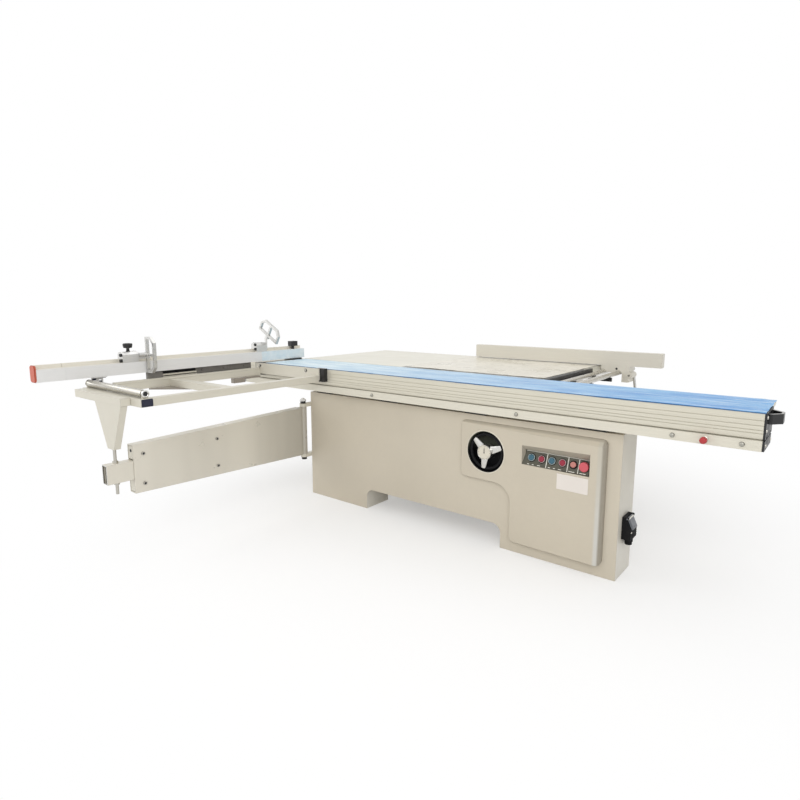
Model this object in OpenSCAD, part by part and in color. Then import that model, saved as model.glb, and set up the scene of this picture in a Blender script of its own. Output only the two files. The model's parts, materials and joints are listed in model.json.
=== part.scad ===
// Sliding table saw: a cabinet carries a long rail, on which the carriage, the crosscut
// table and its fence slide past a tilting saw unit that hangs under a cast iron table.
// +X points to the operator's end, +Y to the rip fence, +Z up.
// The origin lies on the floor, midway between the four anchor holes.

/* [Cabinet] */
// Length of the front cabinet along the carriage
cab_l = 2040; // [2000:5:2080]
// Depth of the front cabinet
cab_d = 208; // [200:1:220]
// Height of the front cabinet
cab_h = 699; // [690:1:706]
// How far the cabinet's middle lies towards the operator
cab_shift = 51; // [40:1:60]
// Sheet thickness of the cabinets
sheet = 4; // [3:0.5:5]
// Width of the cabinet's far foot
far_foot_w = 496; // [470:1:510]
// Width of the cabinet's near foot
near_foot_w = 602; // [580:1:620]
// Height of the gap for a fork truck
gap_h = 127; // [115:1:140]
// Corner radius of the fork gap
gap_r = 50; // [30:1:60]

/* [Anchors] */
// Spacing of the floor anchors along the carriage
anchor_x = 1140; // [1110:1:1170]
// Spacing of the floor anchors across the carriage
anchor_y = 792; // [780:1:800]
// Diameter of an anchor hole
anchor_d = 18; // [12:1:22]
// Thickness of the anchor plates
plate_t = 10; // [8:1:14]
// Length of an anchor plate in the cabinet
plate_l = 120; // [90:1:130]
// Width of a rear leg along the carriage
leg_w = 80; // [70:1:90]
// Depth of a rear leg
leg_d = 90; // [80:1:95]
// Wall of a rear leg
leg_wall = 6; // [4:1:8]
// Rim of plate past an anchor hole
anchor_rim = 36; // [30:1:42]

/* [Carriage and rail] */
// Height of the carriage top above the floor
table_h = 870; // [868:0.5:874]
// Length of the carriage and of the rail
car_l = 3200; // [3100:10:3300]
// Width of the carriage
car_w = 377; // [372:1:380]
// Height of the carriage's side
car_h = 106; // [104:1:108]
// How far the carriage stands out in front of the cabinet
car_out = 47; // [44:1:50]
// Thickness of the carriage deck
deck_t = 14; // [12:1:15]
// Thickness of the carriage's side skirts
skirt_t = 7; // [6:0.5:8]
// Thickness of the lip beside the blade
lip_t = 18; // [16:1:18]
// Thickness of the lip at its edge
lip_edge = 3; // [2:0.5:4]
// Height and depth of a side groove
groove = 3; // [2:0.5:4]
// Height of the fixed rail
rail_h = 42; // [40:1:44]
// Width of the fixed rail
rail_w = 200; // [190:1:202]
// Wall of the rail
rail_wall = 6; // [5:0.5:8]
// Step back along the rail's top edge
rail_step = 2; // [1:0.5:4]
// Gap between the rail and the carriage's skirt
run_gap = 4; // [3:0.5:5]
// Radius of a rail rod
track_r = 8; // [7:0.5:9]
// Distance of each track from the rail's edge
track_in = 47; // [40:1:52]
// Length of the roller carriage
cage_l = 1500; // [1400:10:1560]
// Width of a roller
roller_w = 14; // [12:1:16]
// Radius of a roller's axle
axle_r = 6; // [5:0.5:8]
// Thickness of the black end caps
cap_t = 8; // [6:1:12]

/* [Push handle] */
// How far the handle stands out
handle_out = 46; // [40:1:52]
// Width of the handle
handle_w = 120; // [100:1:140]
// Height of the handle's strap
handle_h = 40; // [30:1:46]
// Thickness of the strap
handle_t = 8; // [6:1:10]

/* [Tables] */
// Length of the cast iron table
tab_l = 990; // [970:1:1010]
// Width of the cast iron table
tab_w = 600; // [590:1:620]
// How far the table's middle lies towards the operator
tab_shift = 26; // [22:1:30]
// Depth of the table's edge skirts
tab_t = 60; // [56:1:64]
// Thickness of the table plate
tab_plate = 18; // [16:1:19]
// Thickness of the table's skirts
tab_skirt = 12; // [10:1:14]
// Width of the folded side table
side_w = 353; // [330:1:370]
// Length of the folded rear table
rear_l = 928; // [900:1:950]
// Depth of the folded tables' edges
fold_h = 42; // [38:1:46]
// Width of a table strut
strut_w = 50; // [40:1:60]
// Thickness of the packing wrap on the table
wrap_t = 5; // [4:0.5:6]

/* [Rip fence] */
// Distance from the blade to the rip fence's face
rip_y = 861; // [840:1:880]
// Length of the rip fence
rip_l = 1329; // [1300:1:1350]
// Height of the rip fence
rip_h = 90; // [80:1:96]
// Thickness of the rip fence
rip_t = 55; // [50:1:60]
// Near end of the rip fence
rip_near = 914; // [900:1:925]
// Gap from the table to the rip fence
rip_gap = 10; // [9:0.5:11]
// Radius of the fence rods
fence_rod_r = 15; // [13:0.5:16]
// Spacing of the fence rods
fence_rod_gap = 93; // [88:1:98]
// Length of the fence rods
fence_rod_l = 1160; // [1150:5:1180]
// Width of the rip fence carrier
carrier_w = 100; // [90:1:110]
// Height of the scale bar
bar_h = 38; // [34:1:42]
// Thickness of the scale bar
bar_t = 14; // [12:1:16]

/* [Crosscut table] */
// Distance from the carriage to the outer beam's face
out_l = 1200; // [1180:5:1220]
// Width of the crosscut frame along the carriage
out_w = 630; // [620:1:640]
// Near side of the crosscut frame
out_near = -795; // [-800:1:-790]
// Height of the frame tubes
tube_h = 40; // [38:1:42]
// Width of the side tubes
tube_w = 45; // [40:1:48]
// Width of the outer tube and of the brace
outer_w = 60; // [56:1:64]
// Wall of the frame tubes
tube_wall = 3; // [2:0.5:4]
// Height of the tubes' top below the carriage top
tube_drop = 42; // [41:0.5:44]
// Thickness of the inner plate
inner_t = 8; // [6:1:10]
// Height of the inner plate
inner_h = 74; // [70:1:76]
// Room between the carriage and the inner plate
inner_gap = 32; // [28:1:36]
// Radius of the support roller
sup_r = 19; // [18:0.5:20]
// Radius of the roller's pins
sup_pin_r = 6; // [5:0.5:7]
// Length of the bar that carries the gusset
foot_bar_l = 502; // [480:1:520]
// Depth of that bar
foot_bar_w = 50; // [46:1:54]
// Width of the gusset's top
gus_top = 272; // [260:1:284]
// Width of the gusset's foot
gus_foot = 66; // [60:1:70]
// Height of the gusset
gus_h = 232; // [226:1:236]
// Depth of the gusset
gus_d = 34; // [30:1:38]

/* [Crosscut fence] */
// Length of the crosscut fence without its extension
fence_l = 1667; // [1640:1:1680]
// Height of the fence
fence_h = 66; // [62:1:68]
// Depth of the fence
fence_d = 60; // [56:1:64]
// Wall of the fence
fence_wall = 4; // [3:0.5:5]
// Gap from the carriage to the fence
fence_gap = 12; // [11:0.5:13]
// Face of the fence
fence_face = -1386; // [-1390:1:-1382]
// Distance from the blade to the fence's inner end
fence_in = 11; // [9:1:13]
// Distance from the fence's inner end to its pivot
pivot_in = 83; // [76:1:90]
// Radius of the fence pivot
pivot_r = 10; // [9:0.5:12]
// Length of the extension that shows
ext_l = 142; // [130:1:150]
// Length of the spigot in the fence
spigot_l = 700; // [650:5:750]
// Length of the end cap
cap_l = 38; // [34:1:42]
// Height of a stop finger
finger_h = 208; // [200:1:212]
// Reach of a stop finger in front of the fence
finger_w = 92; // [86:1:98]
// Thickness of a stop finger
finger_t = 18; // [16:1:20]
// Radius of a stop finger's hinge pin
finger_pin_r = 7; // [6:0.5:8]
// Angle of the far stop's raised finger
raised_angle = 60; // [50:1:65]

/* [Swing arm] */
// Angle of the arm away from square
arm_angle = 2; // [0:0.5:4]
// Length of the arm from its hinge
arm_l = 1154; // [1140:1:1160]
// Thickness of the arm
arm_w = 60; // [56:1:64]
// Height of the arm at its hinge
arm_root_h = 318; // [310:1:324]
// Height of the arm at its tip
arm_tip_h = 256; // [250:1:262]
// Height of the arm's middle line
arm_z = 442; // [438:1:446]
// Sheet of the arm
arm_wall = 4; // [3:0.5:5]
// Radius of the hinge pin
hinge_r = 12; // [10:0.5:14]
// Radius of the hinge barrel
barrel_r = 23; // [21:0.5:25]
// Height of the sliding support tube
sup_h = 100; // [94:1:104]
// How far the support tube stands out of the arm
sup_out = 134; // [130:1:138]
// Length of the support tube
sup_l = 1180; // [1160:5:1185]
// Radius of the threaded stud
stud_r = 8; // [7:0.5:9]

/* [Controls] */
// Handwheel centre from the cabinet's near end
wheel_in = 694; // [684:1:704]
// Handwheel centre above the floor
wheel_z = 511; // [500:1:516]
// Radius of the handwheel bowl
bowl_r = 110; // [106:1:112]
// Depth of the bowl behind the cabinet face
bowl_d = 55; // [50:1:60]
// Radius of the handwheel's rim
rim_r = 92; // [88:1:94]
// Thickness radius of the rim
rim_t = 9; // [8:0.5:10]
// Radius of the handwheel shaft
shaft_r = 9; // [8:0.5:10]
// Width of the button panel
panel_w = 353; // [345:1:360]
// Height of the button panel
panel_h = 107; // [100:1:112]
// Panel's near edge from the cabinet's near end
panel_in = 135; // [128:1:142]
// Underside of the panel above the floor
panel_z = 485; // [480:1:492]
// Spacing of the buttons
button_pitch = 53.6; // [52:0.1:55]
// Radius of a push button
button_r = 13.5; // [12:0.5:14.5]
// Radius of the emergency stop
estop_r = 23; // [20:0.5:24]
// Greatest depth of the pressed control cover
cover_d = 30; // [26:1:34]
// Least depth of the pressed control cover
cover_thin = 12; // [10:1:14]

/* [Saw unit] */
// Radius of the main blade
blade_r = 150; // [140:1:151]
// Thickness of the main blade
blade_t = 3.2; // [2.8:0.1:3.6]
// Number of teeth
blade_teeth = 40; // [24:4:60]
// Depth of a tooth
tooth_d = 9; // [7:0.5:10]
// Depth of the lowered blade below the table
blade_down = 5; // [4:0.5:6]
// Clear gap from the carriage to the blade's plane
blade_gap = 9; // [8:0.5:10]
// Clear gap from the blade's plane to the table
table_gap = 6; // [5:0.5:7]
// Place of the main blade along the carriage
blade_x = -60; // [-66:1:-54]
// Radius of the scoring blade
score_r = 60; // [58:1:62]
// Distance between the two blades
score_gap = 230; // [226:1:234]
// Radius of the arbor
arbor_r = 15; // [13:0.5:16]
// Radius of the motor
motor_r = 75; // [70:1:78]
// Length of the motor
motor_l = 210; // [200:1:220]
// Distance from the arbor to the motor
belt_span = 175; // [172:1:178]
// Radius of the arbor's pulley
arbor_pulley_r = 32; // [30:1:34]
// Radius of the motor's pulley
motor_pulley_r = 50; // [48:1:52]
// Radius of the dust port
port_r = 62.5; // [55:0.5:65]

/* [Hidden] */
$fn = 48;
over = 1;
fit = 0.3;
run = 0.05;
roll = 0.3;

// Levels and edges that several pieces share
cab_x0 = cab_shift - cab_l / 2;
cab_x1 = cab_x0 + cab_l;
cab_y0 = -anchor_y / 2 - cab_d / 2;
cab_y1 = cab_y0 + cab_d;
gap_x0 = cab_x0 + far_foot_w;
gap_x1 = cab_x1 - near_foot_w;
car_z0 = table_h - car_h;
car_y0 = cab_y0 - car_out;
car_y1 = car_y0 + car_w;
car_x1 = car_l / 2;
rail_z1 = car_z0 - run_gap;
rail_z0 = rail_z1 - rail_h;
rail_y1 = car_y0 + rail_w;
blade_y = car_y1 + blade_gap;
tab_x0 = tab_shift - tab_l / 2;
tab_x1 = tab_x0 + tab_l;
tab_y0 = blade_y + table_gap;
tab_y1 = tab_y0 + tab_w;
tab_z0 = table_h - tab_t;
track_ys = [car_y0 + track_in, rail_y1 - track_in];

// Body under the cast iron table
body_in = 4;
body_x0 = tab_x0 + body_in;
body_x1 = tab_x1 - body_in;
window_in = 25;
window_x0 = body_x0 + window_in;
window_x1 = body_x1 - window_in;
window_d = 108;
window_sill = 23;
window_z0 = gap_h + sheet + window_sill;
port_l = 60;
port_wall = 3;
port_y = 60;
port_z = 300;

// Rail pads and bolts
pad_l = 130;
pad_w = 90;
pad_in = 6;
pad_shares = [-0.44, -0.17, 0.12, 0.43];
bolt_shares = [-0.12, 0.176, 0.4, 0.479];
bolt_r = 9;
bolt_head = 5;
shank_r = 5;
shank_l = 16;
bolt_z = rail_z0 + rail_h / 2;
seat = 0.2;

// Carriage details
cove_h = 20;
cove_d = 9;
cove_steps = 6;
groove_shares = [0.22, 0.34, 0.51, 0.7];
track_rib_w = 18;
track_rib_h = 18;
lip_y0 = rail_y1 + skirt_t;
roller_z0 = rail_z1 + seat + 2 * track_r + roll;
roller_z1 = table_h - deck_t - track_rib_h - roll;
roller_r = (roller_z1 - roller_z0) / 2;
roller_z = (roller_z1 + roller_z0) / 2;
bar_thick = 6;
cage_bar_h = 28;
roller_count = 4;
half_share = 0.5;
cap_gap = 1;
cap_notch = 2.5;

handle_corner_shares = [0.7, 0.6];
handle_z_share = 0.55;

// Lock knob of the carriage
lock_in = 198;
lock_x = car_x1 - lock_in;
lock_r = 13;
lock_stem_r = 6;
lock_stem_l = 14;
lock_ball_l = 20;

// Folded tables and their struts
fold_gap = 3;
side_y0 = tab_y1 + fold_gap;
side_y1 = side_y0 + side_w;
rear_x1 = tab_x0 - fold_gap;
rear_x0 = rear_x1 - rear_l;
fold_z0 = table_h - fold_h;
strut_low = 480;
strut_h = 60;
strut_reach_share = 0.78;
strut_at_share = 0.5;
wrap_in = 20;
wrap_rim = 4;

// Rip fence and its rods
rip_y0 = blade_y + rip_y;
rip_z0 = table_h + rip_gap;
rip_x0 = rip_near - rip_l;
rip_wall = 3;
bar_drop = 4;
bar_x1 = tab_x1 + bar_t;
bar_y1 = tab_y1 + side_w / 3;
rod_side = 12;
rod_x = [bar_x1 + rod_side + fence_rod_r, bar_x1 + rod_side + fence_rod_r + fence_rod_gap];
rod_drop = 35;
rod_z = table_h - rod_drop;
rod_y0 = tab_y0 + fit;
rod_y1 = rod_y0 + fence_rod_l;
saddle_t = 14;
saddle_h = 24;
saddle_shares = [0.02, 0.5, 0.97];
carrier_x0 = rod_x[0] - fence_rod_r - rod_side / 2;
carrier_top = rip_z0 - fit;
carrier_nose = 70;
carrier_skirt = 50;
carrier_low = 60;
carrier_tongue = 20;
lever_r = 9;
lever_l = 120;
lever_pin_r = 7;
lever_angle = 172;

// Crosscut frame
inner_y1 = car_y0 - inner_gap;
inner_y0 = inner_y1 - inner_t;
inner_lift = 2;
inner_z1 = table_h + inner_lift;
inner_z0 = inner_z1 - inner_h;
tube_z1 = table_h - tube_drop;
tube_z0 = tube_z1 - tube_h;
out_x1 = out_near;
out_x0 = out_x1 - out_w;
outer_y0 = car_y0 - out_l;
outer_y1 = outer_y0 + outer_w;
brace_share = 0.411;
brace_y = outer_y1 + (inner_y0 - outer_y1) * brace_share;
sup_y = (outer_y0 + outer_y1) / 2;
sup_z = table_h - sup_r - fit;
ear_t = 8;
ear_w = 30;
ear_in = 16;
ear_rim = 12;
sup_gap = 4;
foot_bar_in = 104;
foot_bar_x1 = out_x1 - foot_bar_in;
foot_bar_x0 = foot_bar_x1 - foot_bar_l;
foot_bar_y0 = outer_y0 - foot_bar_w;
gus_wall = 4;
gus_z0 = tube_z0 - gus_h;
clamp_w = 71;
clamp_h = 84;
clamp_rise = 9;
clamp_step = 35;
clamp_far = 15;
clamp_bolt_shares = [0.07, 0.81];

// Swing arm, worked out along the arm from its hinge
hinge_side = 24;
hinge_out = 48;
hinge_x = cab_x0 - hinge_side;
hinge_y = cab_y0 - hinge_out;
arm_start = 42;
gus_y = foot_bar_y0 + gus_d / 2;
stud_at = (hinge_y - gus_y) / cos(arm_angle);
gus_x = hinge_x - stud_at * sin(arm_angle);
guide_half = 80;
guide_shares = [0.58, 0.955];
guide_r = 28;
guide_gap = 1.5;
guide_bolt_r = 6;
guide_head_r = 9;
guide_head = 5;
tube_low = 12;
tube_z = arm_z - tube_low;
tube_side = 1.2;
stud_low = 62;
stud_rim = 55;
stud_gap = 3;
nut_r = 14;
nut_h = 12;
hinge_ear = 22;
hinge_ear_gap = 1;
hinge_foot_w = 90;
arm_tip_drop = 9;
pin_head = 14;
pin_up = 26;
bush_r = 16;
bush_h = 16;

// Crosscut fence
fence_x1 = fence_face;
fence_x0 = fence_x1 - fence_d;
fence_x = (fence_x0 + fence_x1) / 2;
fence_z0 = table_h + fence_gap;
fence_z1 = fence_z0 + fence_h;
fence_y1 = blade_y - fence_in;
fence_y0 = fence_y1 - fence_l;
pivot_y = fence_y1 - pivot_in;
pivot_base = 90;
pivot_knob_up = 22;
pivot_knob_h = 35;
pivot_knob_w = 58;
pivot_knob_d = 40;
foot_share = 0.892;
foot_w = 64;
foot_t = 5;
foot_drop = fence_z0 - tube_z1 - fit;
foot_hole_r = 7;
slot_w = 14;
slot_d = 2.5;
rib_w = 16;
rib_h = 20;
spigot_fit = 0.5;
near_block_share = 0.7613;
far_block_share = 0.208;
near_block_l = 94;
far_block_l = 88;
block_h = 60;
near_hinge_h = 38;
far_hinge_h = 97;
near_link = 39;
far_link = 6;
finger_bevel = 33;
finger_back = 8;
finger_bar = 14;
lug_r = 14;
knob_stem_r = 7;
knob_stem_h = 22;
knob_r = 22;
knob_h = 24;

// Control cover on the cabinet
wheel_x = cab_x1 - wheel_in;
panel_x1 = cab_x1 - panel_in;
panel_x0 = panel_x1 - panel_w;
panel_z1 = panel_z + panel_h;
panel_set = 6;
panel_t = 6;
cover_rim = 64;
cover_x1 = cab_x1 - cover_rim;
cover_left = 150;
cover_wing = 300;
cover_head = 32;
cover_under = 154;
cover_x0 = wheel_x - cover_left;
cover_leg = cover_x0 + cover_wing;
cover_z1 = cab_h - cover_head;
cover_z0 = 60;
cover_step = wheel_z - cover_under;
cover_r = 26;
cover_fillet = 92;
cover_wall = 3;
cover_bevel = 38;
cover_edge = 6;
bevel_steps = 6;
cover_top_bevel = 33;
recess_drop = 35;
recess_side = 18;
bowl_wall = 3;
bowl_lip = 3;
hub_r = 34;
hub_l = 34;
hub_out = 22;
wheel_front = 4;
spoke_w = 30;
spoke_t = 9;
spokes = 3;
spoke_turn = 100;
shaft_in = 70;
button_at_share = 0.15;
button_z_share = 0.36;
button_z = panel_z + panel_h * button_z_share;
button_out = 14;
button_gap = 4;
button_tail_r = 8;
button_tail = 16;
estop_gap = 10;
estop_out = 26;

// Second handwheel on the body's near wall
rise_y = 150;
rise_z = 560;
rise_stand = 26;
rise_boss_r = 26;

// Power inlet on the cabinet's near end
inlet_in = 100;
inlet_y = cab_y0 + inlet_in;
inlet_w = 92;
inlet_h = 108;
inlet_z = 190;
inlet_d = 42;
inlet_top = 16;
inlet_step = 50;
socket_r = 16;
socket_l = 33;
lid_t = 6;
lid_h = 56;
lid_angle = atan2(inlet_d - inlet_top, inlet_h - inlet_step);
lid_off = 7;
lid_drop = 5;
lid_pin_r = 4;
lid_ear = 12;
lid_x = cab_x1 + inlet_top + lid_off;
lid_z = inlet_z + inlet_h - lid_drop;

// Saw unit, measured from the tilt axis at the table top in the blade's plane
arbor_z = -blade_down - blade_r;
flange_r = 35;
flange_t = 10;
nut_t = 12;
nut_hex_r = 20;
housing_y0 = 15;
housing_y1 = 128;
housing_r = 34;
pulley_y0 = 140;
pulley_w = 36;
pulley_rim = 4;
belt_t = 6;
belt_w = 28;
belt_gap = 0.8;
belt_steps = 28;
motor_gap = 12;
motor_y0 = pulley_y0 + pulley_w + motor_gap;
motor_z = arbor_z - belt_span;
motor_shaft_r = 12;
slide_y0 = 60;
slide_y1 = 80;
slide_half = 130;
slide_up = 50;
slide_down = 190;
guide_bar = 16;
arm_at = 65;
arm_half = 7;
rise = 75;
cradle_x0 = -335;
cradle_x1 = 245;
cradle_t = 10;
cradle_y0 = 30;
cradle_y1 = 285;
cradle_top = -110;
cradle_low = -432;
beam = 30;
trunnion_t = 12;
trunnion_gap = 3;
arc_r = 300;
arc_half = 10;
arc_rim = 34;
arc_from = -98;
arc_to = -22;
slot_from = -92;
slot_to = -28;
shoe_from = -46;
shoe_to = -30;
shoe_fit = 0.4;
knife_r0 = 154;
knife_r1 = 184;
knife_t = 2.4;
knife_from = 124;
knife_to = 205;
tooth_tip_share = 0.6;
tooth_back_share = 0.75;
score_x = blade_x + score_gap;
score_down = 4;
score_t = 2.6;
score_z = -score_down - score_r;
score_body_r = 34;
score_y0 = 14;
score_y1 = 140;
score_arbor_r = 9;
score_nut_r = 18;
score_nut = 8;
score_arm_low = 170;

// Box between two corners
module box(x0, x1, y0, y1, z0, z1) {
  translate([x0, y0, z0]) cube([x1 - x0, y1 - y0, z1 - z0]);
}

// Round bars along each axis
module rod_x(x0, x1, y, z, r) {
  translate([x0, y, z]) rotate([0, 90, 0]) cylinder(h = x1 - x0, r = r);
}
module rod_y(y0, y1, x, z, r) {
  translate([x, y1, z]) rotate([90, 0, 0]) cylinder(h = y1 - y0, r = r);
}
module rod_z(z0, z1, x, y, r) {
  translate([x, y, z0]) cylinder(h = z1 - z0, r = r);
}

// Flat outlines extruded along each axis
module prism_x(x0, x1) {
  translate([x0, 0, 0]) rotate([90, 0, 90]) linear_extrude(x1 - x0) children();
}
module prism_y(y0, y1) {
  translate([0, y1, 0]) rotate([90, 0, 0]) linear_extrude(y1 - y0) children();
}
module prism_z(z0, z1) {
  translate([0, 0, z0]) linear_extrude(z1 - z0) children();
}

// Flat outlines
module rect(x0, x1, y0, y1) {
  translate([x0, y0]) square([x1 - x0, y1 - y0]);
}
module round_rect(x0, x1, y0, y1, r) {
  rect(x0 + r, x1 - r, y0, y1);
  rect(x0, x1, y0 + r, y1 - r);
  for (x = [x0 + r, x1 - r]) for (y = [y0 + r, y1 - r]) translate([x, y]) circle(r);
}

// Sector of a ring between two angles
module ring_sector(r0, r1, from, to) {
  far = 2 * r1;
  mid = (from + to) / 2;
  intersection() {
    difference() {
      circle(r1, $fn = 96);
      circle(r0, $fn = 96);
    }
    polygon([
      [0, 0], far * [cos(from), sin(from)], far * [cos(mid), sin(mid)], far * [cos(to), sin(to)]
    ]);
  }
}

// Square tube along each axis, open at both ends
module tube_along_y(x0, x1, y0, y1, z0, z1, wall) {
  difference() {
    box(x0, x1, y0, y1, z0, z1);
    box(x0 + wall, x1 - wall, y0 - over, y1 + over, z0 + wall, z1 - wall);
  }
}
module tube_along_x(x0, x1, y0, y1, z0, z1, wall) {
  difference() {
    box(x0, x1, y0, y1, z0, z1);
    box(x0 - over, x1 + over, y0 + wall, y1 - wall, z0 + wall, z1 - wall);
  }
}

// Fork gap with round upper corners
module fork_outline() {
  round_rect(gap_x0, gap_x1, -gap_h, gap_h, gap_r);
}

module front_cabinet() color("#c7bda9") {
  difference() {
    box(cab_x0, cab_x1, cab_y0, cab_y1, 0, cab_h);
    box(cab_x0 + sheet, cab_x1 - sheet, cab_y0 + sheet, cab_y1 - sheet, gap_h + sheet, cab_h - sheet);
    for (foot = [[cab_x0, gap_x0], [gap_x1, cab_x1]])
      box(foot[0] + sheet, foot[1] - sheet, cab_y0 + sheet, cab_y1 - sheet, -over, gap_h + sheet + over);
    prism_y(cab_y0 - over, cab_y1 + over) fork_outline();
    box(gap_x0, gap_x1, cab_y0 + sheet, cab_y1 - sheet, -over, gap_h);
    box(window_x0, window_x1, cab_y1 - window_d, cab_y1 + over, window_z0, cab_h + over);
    rod_y(cab_y0 - over, cab_y0 + sheet + over, wheel_x, wheel_z, bowl_r + fit);
    box(panel_x0, panel_x1, cab_y0 - over, cab_y0 + sheet + over, panel_z, panel_z1);
  }
}

// Outline of the control cover, drawn in by an inset
module cover_outline(inset) {
  r = cover_r - inset;
  corner_x = cover_leg + inset;
  corner_z = cover_step + inset;
  fill = cover_fillet + inset;
  round_rect(cover_x0 + inset, cover_x1 - inset, corner_z, cover_z1 - inset, r);
  round_rect(corner_x, cover_x1 - inset, cover_z0 + inset, cover_z1 - inset, r);
  difference() {
    rect(corner_x - fill, corner_x + r, corner_z - fill, corner_z + r);
    translate([corner_x - fill, corner_z - fill]) circle(fill, $fn = 96);
    rect(corner_x - fill - over, corner_x - fill, corner_z - fill - over, corner_z + r + over);
  }
}

// Pressed form of the cover: thin at the wheel, deep at the operator's end, bevelled above
module cover_form(inset) {
  face = cab_y0 + over * sign(inset);
  thin = cover_thin - inset;
  deep = cover_d - inset;
  intersection() {
    prism_y(cab_y0 - cover_d, face) cover_outline(inset);
    prism_z(0, cab_h) polygon(concat(
      [[cover_x0, face], [cover_x0, cab_y0 - thin]],
      [for (i = [0 : bevel_steps]) let (t = 90 * i / bevel_steps) [
        cover_x1 - inset - (cover_bevel - inset) * (1 - sin(t)),
        cab_y0 - cover_edge - (deep - cover_edge) * cos(t)
      ]],
      [[cover_x1 - inset, face]]
    ));
    prism_x(cover_x0, cover_x1) polygon([
      [face, cover_z0], [cab_y0 - deep, cover_z0], [cab_y0 - deep, cover_z1 - cover_top_bevel - inset],
      [cab_y0, cover_z1 - inset], [face, cover_z1 - inset]
    ]);
  }
}

module control_cover() color("#cac1ae") {
  difference() {
    cover_form(0);
    cover_form(cover_wall);
    rod_y(cab_y0 - cover_d - over, cab_y0 + over, wheel_x, wheel_z, bowl_r + fit);
    box(panel_x0, panel_x1, cab_y0 - cover_d - over, cab_y0 + over, panel_z, panel_z1);
  }
  // Sloped upper and left walls of the panel's recess
  intersection() {
    cover_form(0);
    union() {
      prism_x(panel_x0 - cover_wall, panel_x1 + cover_wall) polygon([
        [cab_y0 - cover_d, panel_z1], [cab_y0 - cover_d, panel_z1 + cover_wall],
        [cab_y0, panel_z1 + cover_wall], [cab_y0, panel_z1 - recess_drop]
      ]);
      prism_z(panel_z, panel_z1 + cover_wall) polygon([
        [panel_x0, cab_y0 - cover_d], [panel_x0 - cover_wall, cab_y0 - cover_d],
        [panel_x0 - cover_wall, cab_y0], [panel_x0 + recess_side, cab_y0]
      ]);
    }
  }
}

// Place of button number i along the panel
function button_x(i) = panel_x0 + panel_w * button_at_share + i * button_pitch;

module control_panel() color("#6f6c61") {
  difference() {
    box(panel_x0 + fit, panel_x1 - fit, cab_y0 + fit, cab_y0 + panel_set + panel_t,
      panel_z + fit, panel_z1 - fit);
    box(panel_x0 + panel_t, panel_x1 - panel_t, cab_y0 - over, cab_y0 + panel_set,
      panel_z + panel_t, panel_z1 - panel_t);
    for (i = [0 : 5])
      rod_y(cab_y0, cab_y0 + panel_set + panel_t + over, button_x(i), button_z, button_tail_r + fit);
  }
}

module wheel_bowl() color("#1b1b1b") {
  front = cab_y0 - cover_thin;
  difference() {
    union() {
      rod_y(front, cab_y0 + bowl_d, wheel_x, wheel_z, bowl_r);
      rod_y(cab_y0 + sheet + fit, cab_y0 + sheet + fit + bowl_lip, wheel_x, wheel_z, bowl_r + cover_r);
    }
    rod_y(front - over, cab_y0 + bowl_d - bowl_wall, wheel_x, wheel_z, bowl_r - bowl_wall);
    rod_y(cab_y0, cab_y0 + bowl_d + over, wheel_x, wheel_z, shaft_r + run);
  }
}

// Rear leg with its anchor flange, for one side
module rear_leg(x0, x1, hole_x) {
  y = anchor_y / 2;
  flange_x0 = min(x0, hole_x - anchor_rim);
  flange_x1 = max(x1, hole_x + anchor_rim);
  difference() {
    union() {
      box(x0, x1, y - leg_d / 2, y + leg_d / 2, 0, gap_h);
      box(flange_x0, flange_x1, y - leg_d / 2, y + leg_d / 2, 0, plate_t);
    }
    box(x0 + leg_wall, x1 - leg_wall, y - leg_d / 2 + leg_wall, y + leg_d / 2 - leg_wall,
      plate_t, gap_h + over);
    rod_z(-over, plate_t + over, hole_x, y, anchor_d / 2);
  }
}

module machine_feet() color("#b9b09d") {
  for (side = [-1, 1]) difference() {
    x = side * anchor_x / 2;
    box(x - plate_l / 2, x + plate_l / 2, cab_y0 + sheet, cab_y1 - sheet, 0, plate_t);
    rod_z(-over, plate_t + over, x, -anchor_y / 2, anchor_d / 2);
  }
  rear_leg(body_x0, body_x0 + leg_w, -anchor_x / 2);
  rear_leg(body_x1 - leg_w, body_x1, anchor_x / 2);
}

module main_body() color("#c2b8a4") {
  difference() {
    union() {
      box(body_x0, body_x1, cab_y1, tab_y1, gap_h, tab_z0);
      rod_x(body_x0 - port_l, body_x0 + over, port_y, port_z, port_r);
    }
    box(body_x0 + sheet, body_x1 - sheet, cab_y1 - over, tab_y1 - sheet, gap_h + sheet, tab_z0 + over);
    rod_x(body_x0 - port_l - over, body_x0 + sheet + over, port_y, port_z, port_r - port_wall);
    rod_x(body_x1 - sheet - over, body_x1 + over, rise_y, rise_z, shaft_r + run);
  }
}

module rail_supports() color("#2a2a28") {
  for (share = pad_shares) {
    x = cab_shift + share * cab_l;
    box(x - pad_l / 2, x + pad_l / 2, cab_y0 + pad_in, cab_y0 + pad_in + pad_w, cab_h, rail_z0);
  }
}

module slide_rail() color("#d6cfbd") {
  difference() {
    prism_x(-car_x1, car_x1) difference() {
      polygon([
        [car_y0, rail_z0], [rail_y1, rail_z0], [rail_y1, rail_z1], [car_y0 + rail_step, rail_z1],
        [car_y0 + rail_step, rail_z1 - rail_step], [car_y0, rail_z1 - 2 * rail_step]
      ]);
      rect(car_y0 + rail_wall + rail_step, rail_y1 - rail_wall, rail_z0 + rail_wall, rail_z1 - rail_wall);
    }
    for (share = bolt_shares)
      rod_y(car_y0 - over, car_y0 + shank_l + over, share * car_l, bolt_z, shank_r + fit);
    rod_y(car_y0 - over, car_y0 + lock_stem_l + over, lock_x, bolt_z, lock_stem_r + run);
  }
}

module rail_end_caps() color("#222222") {
  for (end = [[-car_x1 - cap_t, -car_x1], [car_x1, car_x1 + cap_t]])
    box(end[0], end[1], car_y0 + cap_gap, rail_y1 - cap_gap, rail_z0 + cap_gap, rail_z1 - cap_gap);
}

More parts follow.
